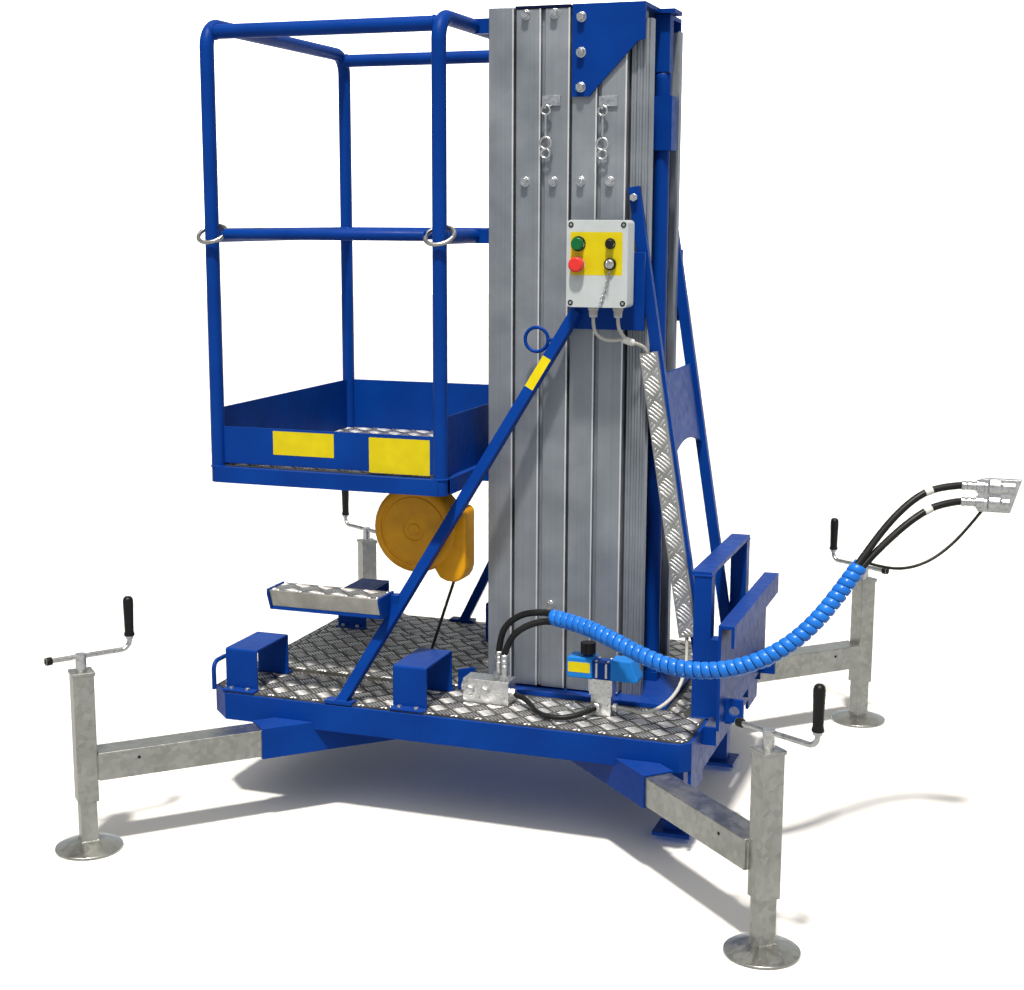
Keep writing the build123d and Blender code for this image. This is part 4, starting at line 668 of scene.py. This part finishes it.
def five_bars(middle, along, across, out, lean, inside):
    """A group of five bars, each cut short where the plate ends."""
    run = (along + across * lean).normalized()
    aside = out.cross(run)
    bars = []
    for place in (-2, -1, 0, 1, 2):
        centre = middle + aside * (place * BAR_SPACING)
        line = [centre + run * (BAR_LENGTH * (step / BAR_STEPS - 0.5)) for step in range(BAR_STEPS + 1)]
        line = [p for p in line if inside(p)]
        if len(line) > 3:
            bars.append(tread_bar(line[0], line[-1], aside, out))
    return bars


def flat_tread(x, y, z, inside):
    """Five-bar groups over a level plate."""
    bars = []
    for row in range(int((y[1] - y[0]) / TREAD_PITCH) + 2):
        for column in range(int((x[1] - x[0]) / TREAD_PITCH) + 2):
            for shift, lean in ((0, 1), (0.5, -1)):
                spot = Vector((x[0] + (column + shift) * TREAD_PITCH, y[0] + (row + shift) * TREAD_PITCH, z))
                bars += five_bars(spot, TO_HITCH, -TO_ENTRY, UP, lean, inside)
    return bars


def within(x, y, edge=0):
    """A test for points inside a rectangle and off its edge."""
    return lambda p: x[0] + edge < p.x < x[1] - edge and y[0] + edge < p.y < y[1] - edge


def box_mm(node):
    """A node's low and high corners in millimetres."""
    return [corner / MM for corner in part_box(node)]


DECK_X, DECK_Y, DECK_TOP, DECK_EDGE, DECK_CHAMFER = (-720, 585), (-458, 458), 309, 12, 62
CENTRE_X, CENTRE_Y, CENTRE_TOP, CENTRE_EDGE, CABLE_HOLE = (-685, -55), (-222, 222), 315, 4, 18
PLATE_EDGE = 2             # bars end this far inside the other plates
# X and Y under the centre deck, the mast's foot, the port block and the valve
COVERED = (
    (CENTRE_X, (-230, 230)), ((-70, 478), (-222, 222)), ((-46, 86), (-326, -258)), ((297, 357), (-326, -279)),
)
# X and Y on both sides: the fork pockets' feet, the front brace's foot plate and the portal's post
COVERED_TWICE = (
    *((x, y) for x in ((-672, -572), (-194, -94)) for y in ((228, 260), (424, 456))),
    ((-376, -290), (420, 460)), ((520, 600), (155, 255)),
)


def on_deck(p):
    """Whether a point lies on the open deck plate, which has two corners cut off at the front."""
    if not within(DECK_X, DECK_Y, DECK_EDGE)(p):
        return False
    if (p.x - DECK_X[0]) + (DECK_Y[1] - abs(p.y)) < DECK_CHAMFER + 2 * DECK_EDGE:
        return False
    one_side = Vector((p.x, abs(p.y)))
    return not (any(within(*area)(p) for area in COVERED)
                or any(within(*area)(one_side) for area in COVERED_TWICE))


def on_centre_deck(p):
    """Whether a point lies on the centre deck, clear of the hole for the reel's cable."""
    return within(CENTRE_X, CENTRE_Y, CENTRE_EDGE)(p) and (p - cable_foot).xy.length > CABLE_HOLE


make("deck_tread_bars", "chassis", BARS, "tread_plate", *flat_tread(DECK_X, DECK_Y, DECK_TOP, on_deck))
make("centre_deck_tread_bars", "chassis", BARS, "tread_plate", *flat_tread(
    CENTRE_X, CENTRE_Y, CENTRE_TOP, on_centre_deck))

step_low, step_high = box_mm("step_tread")
make("step_tread_bars", "chassis", BARS, "tread_plate", *flat_tread(
    (step_low.x, step_high.x), (step_low.y + 10, step_high.y), step_high.z,
    within((step_low.x, step_high.x), (step_low.y + 1, step_high.y), PLATE_EDGE)))

floor_low, floor_high = box_mm("basket_floor")
floor_x, floor_y = (floor_low.x, floor_high.x), (floor_low.y, floor_high.y)
POST_X, POST_HALF, POST_RADIUS, POST_CLEAR = (-690, -70), 399, 18, 4


def on_basket_floor(p):
    """Whether a point lies on the basket's floor, clear of the posts."""
    if not within(floor_x, floor_y, PLATE_EDGE)(p):
        return False
    return min(hypot(p.x - x, abs(p.y) - POST_HALF) for x in POST_X) > POST_RADIUS + POST_CLEAR


make("basket_tread_bars", "carriage", BARS, "tread_plate", *flat_tread(
    floor_x, floor_y, floor_high.z, on_basket_floor))

# Cable cover's tread bars, along the near rear brace
REAR_BRACE_TOP, REAR_BRACE_FOOT = Vector((351, -171, 1612)), Vector((562, -171, 321))
REAR_BRACE_WIDTH, REAR_BRACE_DEPTH = 28, 22
COVER_Z, COVER_OUT, COVER_SPAN, COVER_EDGE = (503, 1214), 35, (-37, 7), 1.5


def rear_brace_at(height):
    """Middle of the near rear brace at a height."""
    share = (REAR_BRACE_TOP.z - height) / (REAR_BRACE_TOP.z - REAR_BRACE_FOOT.z)
    return REAR_BRACE_TOP.lerp(REAR_BRACE_FOOT, share)


cover_top, cover_foot = rear_brace_at(COVER_Z[1]), rear_brace_at(COVER_Z[0])
cover_run = (cover_foot - cover_top).normalized()
cover_across = hitch_side(cover_run)
cover_face = cover_run.cross(cover_across)
cover_length = (cover_foot - cover_top).length


def on_cover(p):
    """Whether a point lies on the cable cover's outer face."""
    along, aside = (p - cover_top).dot(cover_run), (p - cover_top).dot(cover_across)
    return (PLATE_EDGE < along < cover_length - PLATE_EDGE
            and COVER_SPAN[0] + COVER_EDGE < aside < COVER_SPAN[1] - COVER_EDGE)


cover_bars = []
for place in range(int(cover_length / TREAD_PITCH) + 1):
    for shift, aside, lean in ((0.3, 0, 1), (0.8, -0.5, -1), (0.8, 0.5, -1)):
        spot = cover_top + cover_run * ((place + shift) * TREAD_PITCH) + cover_face * COVER_OUT
        spot += cover_across * (sum(COVER_SPAN) / 2 + aside * TREAD_PITCH)
        cover_bars += five_bars(spot, cover_run, cover_across, cover_face, lean, on_cover)
make("cover_tread_bars", "chassis", BARS, "tread_plate", *cover_bars)

# Entry bar with its loose rings
BAR_Z, BAR_RADIUS, RING_RADIUS, RING_WIRE, RING_TILT = 1493.35, 13.5, 36, 5.5, radians(35)
bar_start = POST_X[0] + RING_RADIUS
bar_length = POST_X[1] - POST_X[0] - 2 * RING_RADIUS
make("entry_bar", "drop_bar", BLUE, "frame_blue", turned(
    [(8, -2), (12, 0), (BAR_RADIUS, 2), (BAR_RADIUS, bar_length - 2), (12, bar_length), (8, bar_length + 2)],
    (bar_start, -POST_HALF, BAR_Z), TO_HITCH, 28), replaces=("drop_bar",))
ring_axis = Vector((0, -sin(RING_TILT), cos(RING_TILT)))
make("entry_bar_rings", "drop_bar", GALVANISED, "galvanised", *(
    torus((x, -POST_HALF, BAR_Z), ring_axis, RING_RADIUS, RING_WIRE, 48) for x in POST_X),
    replaces=("drop_bar",))

# Cable reel: round case with a stepped cover, outlet nose, rubber bush and hanger
REEL_X, REEL_Z, REEL_BACK = -188, 744, -208
NOSE_Y, BUSH_RISE = (-214, -286), 1
HANGER_X, HANGER_Y, HANGER_Z = (-233, -143), (-270, -230), (836, 899)
reel_profile = [(0, 0), (104, 0), (111, 4), (114, 10), (114, 37), (111, 39), (111, 43), (114, 45), (114, 72),
                (111, 79), (105, 84), (93, 84), (91, 81), (86, 81), (84, 83.5), (30, 83.5), (28, 81.5),
                (16, 81.5), (14, 84), (0, 84)]
make("reel_case", "carriage", REEL_YELLOW, "reel_yellow",
     turned(reel_profile, (REEL_X, REEL_BACK, REEL_Z), TO_ENTRY, 72), replaces=("cable_reel",))
nose_outline = [(-176, 806), (-58, 806), (-48, 796), (-48, 652), (-52, 634), (-62, 619), (-76, 612),
                (-100, 612), (-120, 620), (-134, 642), (-140, 690), (-176, 720)]
make("reel_nose", "carriage", REEL_YELLOW, "reel_yellow", slab(nose_outline, *NOSE_Y), edge=7.0,
     replaces=("cable_reel",))
make("reel_bush", "carriage", BLACK, "black_plastic", turned(
    [(13, 4), (13, 1), (11, -1), (9, -4), (6, -8), (5, -9)], cable_top + UP * BUSH_RISE, UP, 24),
    replaces=("cable_reel",))
make("reel_hanger", "carriage", BLUE, "frame_blue", block(HANGER_X, HANGER_Y, HANGER_Z), edge=1.5,
     replaces=("cable_reel",))

# Lift cylinder's rod with its end block, and the wiper on the barrel
CYLINDER_X, PISTON_FOOT, ROD_RADIUS, ROD_BLOCK, ROD_BLOCK_Z = 376, 368, 12.5, 20, (1895, 2036)
WIPER_FOOT, WIPER_BORE = 1878, ROD_RADIUS + 0.5
make("lift_rod", "section_1", CHROME, "cylinder_steel", turned(
    [(11, 0), (ROD_RADIUS, 2), (ROD_RADIUS, ROD_BLOCK_Z[0] - PISTON_FOOT)],
    (CYLINDER_X, 0, PISTON_FOOT), UP, 28), replaces=("cylinder_rod",))
make("lift_rod_block", "section_1", BLUE, "cylinder_blue", block(
    (CYLINDER_X - ROD_BLOCK, CYLINDER_X + ROD_BLOCK), (-ROD_BLOCK, ROD_BLOCK), ROD_BLOCK_Z), edge=2.5,
    replaces=("cylinder_rod",))
make("rod_wiper", "chassis", BLUE, "cylinder_blue", turned(
    [(WIPER_BORE, 0), (21, 0), (21, 13), (19, 15.5), (WIPER_BORE, 16)], (CYLINDER_X, 0, WIPER_FOOT), UP, 32))

# Raised lips where the mast's profiles end, given a near-white copy of the mast's aluminium: a painted
# highlight along each edge
MAST_HALF, LIP_WIDTH, LIP_PROUD = 180, 4, 1.2
LIPS = ((1, "section_1", (256.5, 331)), (2, "section_2", (111.5, 186)), (3, "carriage", (41,)))
for section, body, edges in LIPS:
    low, high = box_mm(f"mast_section_{section}")
    lip_y, lip_z = (-MAST_HALF - LIP_PROUD, -MAST_HALF + 1), (low.z + 1, high.z - 1)
    make(f"mast_highlight_lips_{section}", body, MAST_LIP_HIGHLIGHT, "mast_aluminium", *(
        pair(block((x - LIP_WIDTH, x), lip_y, lip_z)) for x in edges), edge=0.6)

# Valve: two coil housings on a core, the far one with a slanted hood, with end nuts and screws
VALVE_X, VALVE_Y, VALVE_Z = (239, 305), (-330, -275), (405, 458)
CORE_X, CORE_Y, CORE_Z = (304, 353), (-326, -279), (405, 448)
coil_outline = rounded(VALVE_X, VALVE_Z, 5)
hood_outline = [(352, 405), (420, 405), (424, 412), (406, 456), (402, 458), (352, 458)]
make("valve_coils", "chassis", VALVE_BLUE, "cylinder_blue", slab(coil_outline, VALVE_Y[1], VALVE_Y[0]),
     slab(hood_outline, VALVE_Y[1], VALVE_Y[0]), edge=3.0, replaces=("valve_body",))
valve_middle = sum(VALVE_Y) / 2
make("valve_core", "chassis", BLUE, "cylinder_blue", block(CORE_X, CORE_Y, CORE_Z),
     turned([(12, 0), (12, 6)], (287, valve_middle, VALVE_Z[1]), UP, 24), edge=1.5, replaces=("valve_body",))
make("valve_nuts", "chassis", ZINC, "galvanised", nut((VALVE_X[0], valve_middle, 431), -TO_HITCH, 26, 4),
     *(turned([(4, 0), (4, 3), (3, 4)], (x, y, CORE_Z[1]), UP, 16) for x in (313, 344) for y in (-318, -287)),
     *(turned([(3.5, 0), (3.5, 36), (2.5, 37)], (x, -327, 410), UP, 12) for x in (316, 341)),
     replaces=("valve_body",))

# Port block's fittings: nuts under the hose tails, ferrules and plugs
BLOCK_TOP, TAIL_LENGTH = 371, 38
fittings = []
for x, y, tail_top in (HOSE_TAIL_A[0], HOSE_TAIL_B[0]):
    fittings += [nut((x, y, BLOCK_TOP), UP, 27, 14), turned(
        [(12, 0), *crimps(12, 10.5), (12, 36), (10, TAIL_LENGTH)], (x, y, tail_top - TAIL_LENGTH), UP, 24)]
fittings += [nut((-22, -322, 342), TO_ENTRY, 22, 9), nut((18, -322, 342), TO_ENTRY, 22, 9),
             nut((-42, -292, 342), -TO_HITCH, 24, 12), nut(DECK_HOSE[0], TO_HITCH, 22, 12),
             nut((318, -326, 334), TO_ENTRY, 20, 8), nut((357, -312, 334), TO_HITCH, 18, 10)]
make("port_fittings", "chassis", ZINC, "galvanised", *fittings, edge=0.6)

# Control box: blank label, bezels, lid screws, gland nuts, and the key with its chain
LID_FACE, LABEL_PROUD, CONTROL_LABEL_PROUD = -316, 0.6, 0.2
KEY_X, KEY_Z, KEY_HOLE = 334, 1429, 13
STOP_X, STOP_Z, STOP_HOLE = 253, 1427, 18.4
COLLAR_HALF, COLLAR_HEIGHT, COLLAR_CHAMFER, COLLAR_SUNK = 1.2, 3, 0.8, 0.4
COLLARS = ((254, 1476, 16.8), (333, 1477, 11.8))       # X, Z and middle radius: start and lowering caps
CONTROL_LABEL_X, CONTROL_LABEL_Z = (234, 363), (1402, 1504)
SCREW_X, SCREW_Z = (235, 365), (1336, 1521)
CHAIN = ((334, 1414), (331, 1402), (325, 1380), (318, 1354), (311, 1332))      # X and Z
CHAIN_PITCH = 6.5


def hole(x, z, radius):
    """A round hole's outline of X and Z."""
    return [(x + a, z + b) for a, b in circle(radius, 32)]


label_holes = [hole(*spot) for spot in (*COLLARS, (STOP_X, STOP_Z, STOP_HOLE), (KEY_X, KEY_Z, KEY_HOLE))]
make("control_label", "chassis", LABEL, "reel_yellow", pierced(
    rounded(CONTROL_LABEL_X, CONTROL_LABEL_Z, 3), label_holes, LID_FACE, LID_FACE - CONTROL_LABEL_PROUD))
shoulder, crown = COLLAR_HEIGHT - COLLAR_CHAMFER, COLLAR_HALF - COLLAR_CHAMFER
collar_outline = [(-COLLAR_SUNK, -COLLAR_HALF), (-COLLAR_SUNK, COLLAR_HALF), (shoulder, COLLAR_HALF),
                  (COLLAR_HEIGHT, crown), (COLLAR_HEIGHT, -crown), (shoulder, -COLLAR_HALF)]
bezels = [swept(ring_points((x, LID_FACE, z), TO_ENTRY, radius), collar_outline, TO_ENTRY, closed=True)
          for x, z, radius in COLLARS]
key_foot = (KEY_X, LID_FACE, KEY_Z)
bezels.append(turned([(14.5, 0), (14.5, 8), (13, 9.5), (12.2, 9.5)], key_foot, TO_ENTRY, 32))
make("button_bezels", "chassis", BLACK, "black_plastic", *bezels)
screw_profile = [(6.5, 0), (6.5, 0.8), (5.8, 1.6), (3.4, 1.7), (3.2, 0.9), (0, 0.9)]
make("lid_screws", "chassis", BLACK, "black_plastic", *(
    turned(screw_profile, (x, LID_FACE, z), TO_ENTRY, 24) for x in SCREW_X for z in SCREW_Z))
glands = []
for x in GLAND_X:
    foot = (x, GLAND_Y, GLAND_Z)
    glands += [nut(foot, -UP, 25, 9),
               turned([(10.6, 9), (10.6, 18), (9.4, 22), (7, 25.4), (5, 26)], foot, -UP, 24)]
make("gland_nuts", "chassis", LEAD_GREY, "lead_grey", *glands)
make("key_barrel", "key_switch", ZINC, "galvanised", turned(
    [(8, -3), (11, -3), (11.5, 10), (10.5, 13), (8.5, 14), (8, 12.5), (0, 12.5)], key_foot, TO_ENTRY, 28),
    replaces=("key_switch",))
make("key_bow", "key_switch", ZINC, "galvanised",
     block((KEY_X - 1.3, KEY_X + 1.3), (LID_FACE - 22, LID_FACE - 12.5), (KEY_Z - 4, KEY_Z + 4)),
     turned([(9, -1.4), (9.5, 0), (9, 1.4)], (KEY_X, LID_FACE - 27, KEY_Z), TO_HITCH, 24), edge=0.4,
     replaces=("key_switch",))
chain_line = [Vector((x, LID_FACE - 4, z)) for x, z in CHAIN]
links = []
for a, b in zip(chain_line, chain_line[1:]):
    parts = max(1, round((b - a).length / CHAIN_PITCH))
    for i in range(parts):
        lean = TO_ENTRY if len(links) % 2 else (b - a).normalized().cross(TO_ENTRY)
        links.append(torus(a.lerp(b, (i + 0.5) / parts), lean, 3.6, 0.9, 14))
make("key_chain", "chassis", ZINC, "galvanised", *links)

# Blank labels on the entry toe board, a front brace and the valve
TOE_FACE = -400.5
TOE_LABELS = (((-530, -359), (937, 998)), ((-262, -98), (906, 995)))       # X and Z
VALVE_LABEL = ((243, 300), (420, 446))
make("toe_board_labels", "carriage", LABEL, "reel_yellow", *(
    slab(rounded(x, z, 2), TOE_FACE, TOE_FACE - LABEL_PROUD) for x, z in TOE_LABELS))
BRACE_FOOT, BRACE_TOP, BRACE_HALF = Vector((-333, -440, 305)), Vector((221, -214, 1309)), 13
BRACE_LABEL_REACH, BRACE_LABEL_HALF = 989, (44, 12)
brace_run = (BRACE_TOP - BRACE_FOOT).normalized()
brace_side = hitch_side(brace_run)
brace_out = brace_side.cross(brace_run)
brace_label = [[BRACE_FOOT + brace_run * (BRACE_LABEL_REACH + a * BRACE_LABEL_HALF[0])
                + brace_side * (b * BRACE_LABEL_HALF[1]) + brace_out * (BRACE_HALF + lift)
                for a, b in SQUARE] for lift in (0, LABEL_PROUD)]
make("brace_label", "chassis", LABEL, "reel_yellow", skinned(brace_label))
make("valve_label", "chassis", LABEL, "reel_yellow",
     slab(rounded(*VALVE_LABEL, 2), VALVE_Y[0], VALVE_Y[0] - LABEL_PROUD))


# Weld seams
def bar_seam(foot, run, side, half_side, half_out, height):
    """Where a sloping bar meets a level plate: the loop round its foot."""
    out = side.cross(run)
    loop = []
    for a, b in ((1, 1), (-1, 1), (-1, -1), (1, -1)):
        corner = foot + side * (a * half_side) + out * (b * half_out)
        loop.append(corner + run * ((height - corner.z) / run.z))
    return loop


rear_run = (REAR_BRACE_FOOT - REAR_BRACE_TOP).normalized()
rear_side = hitch_side(rear_run)
BRACE_PLATE_TOP = 317
PORTAL_X, PORTAL_Y, PORTAL_SEAMS = (541, 585), (-249, -209), (DECK_TOP, 672)
make("chassis_welds", "chassis", BLUE, "frame_blue", *(pair(weld(loop)) for loop in (
    bar_seam(BRACE_FOOT, brace_run, brace_side, BRACE_HALF, BRACE_HALF, BRACE_PLATE_TOP),
    bar_seam(REAR_BRACE_FOOT, rear_run, rear_side, REAR_BRACE_WIDTH / 2, REAR_BRACE_DEPTH / 2, DECK_TOP),
    *([(PORTAL_X[0], PORTAL_Y[0], z), (PORTAL_X[1], PORTAL_Y[0], z), (PORTAL_X[1], PORTAL_Y[1], z),
       (PORTAL_X[0], PORTAL_Y[1], z)] for z in PORTAL_SEAMS),
)))
RAIL_TOP, RAIL_MIDDLE, RAIL_HALF = 1989, 1490, 382.9
TOP_SEAM, MIDDLE_SEAM = 17, 14         # from the post's axis
seam_rings = []                        # middle and axis of each
for x, face in ((POST_X[0], 1), (POST_X[1], -1)):
    seam_rings += [((x + face * TOP_SEAM, y, RAIL_TOP), TO_HITCH) for y in (-RAIL_HALF, RAIL_HALF)]
    seam_rings.append(((x + face * MIDDLE_SEAM, POST_HALF, RAIL_MIDDLE), TO_HITCH))
    for y in (-POST_HALF, POST_HALF):
        seam_rings.append(((x, y - copysign(MIDDLE_SEAM, y), RAIL_MIDDLE), -TO_ENTRY))
        seam_rings.append(((x, y, floor_low.z + 0.5), UP))
seams = [weld(ring_points(middle, axis, POST_RADIUS)) for middle, axis in seam_rings]
make("basket_welds", "carriage", BLUE, "frame_blue", *seams)

# Outriggers: plugs and seams on the arms, pad seams and grips
ARM_HALF, ARM_BORE, ARM_MIDDLE, ARM_END = 35, 31.2, 215, 1154.5
SIDE_SEAM, ROOF_SEAM = (-32, 32), (-24, 24)
PLUG_REACH, PLUG_RISE = 1056, 12
JACK_REACH, JACK_HALF, JACK_TOP = 1179.5, 25, 445
LEG_HALF, PAD_TOP = 20, 22
CRANK_TURN = {"front_left": 55, "rear_left": -30, "rear_right": 147, "front_right": 150}
TAIL_CAP_START, GRIP_ABOVE_CRANK = 71, 32
for corner, (sx, sy) in CORNERS.items():
    outward = Vector((sx, sy, 0)).normalized()
    aside = Vector((-outward.y, outward.x, 0))
    arm_end = outward * ARM_END + UP * ARM_MIDDLE
    plugs, seams = [], []
    for turn in (-1, 1):
        spot = outward * PLUG_REACH + aside * (turn * ARM_HALF) + UP * (ARM_MIDDLE + PLUG_RISE)
        plugs.append(turned([(4, -0.5), (4, 0.6), (3.4, 1.2), (1.4, 1.5), (0, 1.5)], spot, aside * turn, 24))
        seams.append(weld([arm_end + aside * (turn * JACK_HALF) + UP * b for b in SIDE_SEAM], 3.0, False))
    make(f"arm_plugs_{corner}", f"arm_{corner}", BLACK, "black_plastic", *plugs)
    seams.append(weld([arm_end + aside * b + UP * ARM_HALF for b in ROOF_SEAM], 3.0, False))
    jack_tube, leg_tube = (
        [outward * (JACK_REACH + a * half) + aside * (b * half) + UP * z for a, b in SQUARE]
        for half, z in ((JACK_HALF, JACK_TOP), (LEG_HALF, PAD_TOP)))
    seams.append(weld(jack_tube, 2.2))
    make(f"arm_welds_{corner}", f"arm_{corner}", GALVANISED, "galvanised", *seams)
    make(f"arm_end_{corner}", f"arm_{corner}", GALVANISED, "galvanised", skinned(
        [[arm_end - outward * inset + aside * (a * ARM_BORE) + UP * (b * ARM_BORE) for a, b in SQUARE]
         for inset in (5, 0.3)]), edge=0.5)
    make(f"pad_weld_{corner}", f"leg_{corner}", GALVANISED, "galvanised", weld(leg_tube, 3.0))
    low, high = box_mm(f"grip_{corner}")
    tail = -Vector((cos(radians(CRANK_TURN[corner])), sin(radians(CRANK_TURN[corner])), 0))
    tail_end = outward * JACK_REACH + tail * TAIL_CAP_START + UP * (low.z - GRIP_ABOVE_CRANK)
    make(f"crank_tail_cap_{corner}", f"crank_{corner}", BLACK, "black_plastic", turned(
        [(6.2, 0), (9.4, 0.5), (9.8, 3), (9.8, 13), (8.6, 16), (6, 17.2), (0, 17.5)], tail_end, tail, 24))
    make(f"crank_grip_{corner}", f"grip_{corner}", BLACK, "black_plastic", turned(
        [(7.5, 0), (12.4, 0.5), (13, 2.5), (12.6, 6), (11, 12), (11.4, 40), (12.6, 78), (12.6, 88), (11, 95),
         (7, 99), (0, high.z - low.z)], ((low.x + high.x) / 2, (low.y + high.y) / 2, low.z), UP, 32),
        replaces=(f"grip_{corner}",))


# Washers under the hexagon bolts
def washers(spots, face):
    """Flat washers at places of X and Z on both side faces of the mast."""
    return [turned([(12.5, 0), (12.5, 1.4), (11.8, 2), (9, 2)], (x, side * face, z), (0, side, 0), 28)
            for side in (-1, 1) for x, z in spots]


GUSSET_FACE = 188
make("section_1_washers", "section_1", ZINC, "galvanised", *washers(((217, 1625), (291, 1625)), MAST_HALF),
     *washers(((217, 2015), (217, 1932), (217, 1850)), GUSSET_FACE))
make("section_2_washers", "section_2", ZINC, "galvanised",
     *washers(((72, 2026), (146, 2026), (72, 1625), (146, 1625), (146, 547)), MAST_HALF))

# Stage: pale floor, white backdrop, one high soft lamp and a grey surround
FLOOR_HALF, FLOOR_Z = 30000, -0.5
BACKDROP_RADIUS, BACKDROP_Z = 28000, (-1000, 20000)


def studio_floor():
    """A painted studio floor: matt and pale, with hardly seen clouds."""
    made, tree, shader, place = finish("studio_floor", "#F0EFEC", Roughness=0.8)
    cloud = add(tree, "ShaderNodeTexNoise", {"Vector": place, "Scale": per_mm(900), "Detail": 3.0})
    tone = add(tree, "ShaderNodeValToRGB", {"Fac": cloud}, ((0.3, "#EEEDEA"), (0.7, "#F2F1EE")))
    plug(tree, shader, {"Base Color": tone})
    return made


def stage(name, material, points, faces, *unseen_by):
    """A piece of the stage that some kinds of ray pass by."""
    mesh = bpy.data.meshes.new(name)
    mesh.from_pydata([tuple(Vector(p) * MM) for p in points], [], faces)
    mesh.materials.append(material)
    piece = bpy.data.objects.new(name, mesh)
    for kind in unseen_by:
        setattr(piece, f"visible_{kind}", False)
    scene.collection.objects.link(piece)


# The floor doesn't light the object. The surround's pale ground does.
stage("floor", studio_floor(), [(x * FLOOR_HALF, y * FLOOR_HALF, FLOOR_Z) for x, y in SQUARE], [(0, 1, 2, 3)],
      "diffuse", "glossy")
# The backdrop is for the camera alone, so that metal mirrors the surround and not a white wall all round.
white = finish("studio_backdrop", "#FFFFFF", Emission_Color=linear("#FFFFFF"), Emission_Strength=1.2)[0]
wall, wall_faces = skinned([[(a, b, z) for a, b in circle(BACKDROP_RADIUS, 96)] for z in BACKDROP_Z])
stage("backdrop", white, wall, wall_faces[:-2], "diffuse", "glossy", "shadow")

LAMP_FROM = Vector((0.2, -1.0, 2.2)).normalized()
lamp = bpy.data.objects.new("lamp", bpy.data.lights.new("lamp", "SUN"))
lamp.data.energy, lamp.data.angle, lamp.data.color = 4.2, radians(4), linear("#FFF8EE")[:3]
lamp.rotation_mode = "QUATERNION"
lamp.rotation_quaternion = LAMP_FROM.to_track_quat("Z", "Y")
scene.collection.objects.link(lamp)

# Surround: grey sky, bluish above the horizon, over pale ground. It is brighter round the lamp and on
# the far side, which the deck mirrors.
SURROUND = ((0.0, "#CCCAC4"), (0.19, "#DAD8D2"), (0.21, "#8A9AB0"), (0.45, "#81827F"), (0.9, "#6A6866"))
world = bpy.data.worlds.new("surround")
world.use_nodes = True
around = world.node_tree
direction = add(around, "ShaderNodeTexCoord").outputs["Generated"]
aim = add(around, "ShaderNodeSeparateXYZ", {"Vector": direction}).outputs
rise = add(around, "ShaderNodeMapRange", {"Value": aim["Z"], "From Min": -0.25, "From Max": 1.0})
sky = add(around, "ShaderNodeValToRGB", {"Fac": rise}, SURROUND)
lampward = add(around, "ShaderNodeVectorMath", {0: direction, 1: LAMP_FROM},
               operation="DOT_PRODUCT").outputs["Value"]
glow = add(around, "ShaderNodeMapRange",
           {"Value": lampward, "From Min": 0.7, "From Max": 1.0, "To Min": 1.0, "To Max": 10.0},
           interpolation_type="SMOOTHSTEP")
far_side = add(around, "ShaderNodeMapRange",
               {"Value": aim["Y"], "From Min": 0.3, "From Max": 0.9, "To Min": 1.0, "To Max": 2.2},
               interpolation_type="SMOOTHSTEP")
strength = add(around, "ShaderNodeMath", {0: glow, 1: far_side}, operation="MULTIPLY")
plug(around, around.nodes["Background"], {"Color": sky, "Strength": strength})
scene.world = world
scene.view_settings.view_transform = "Standard"
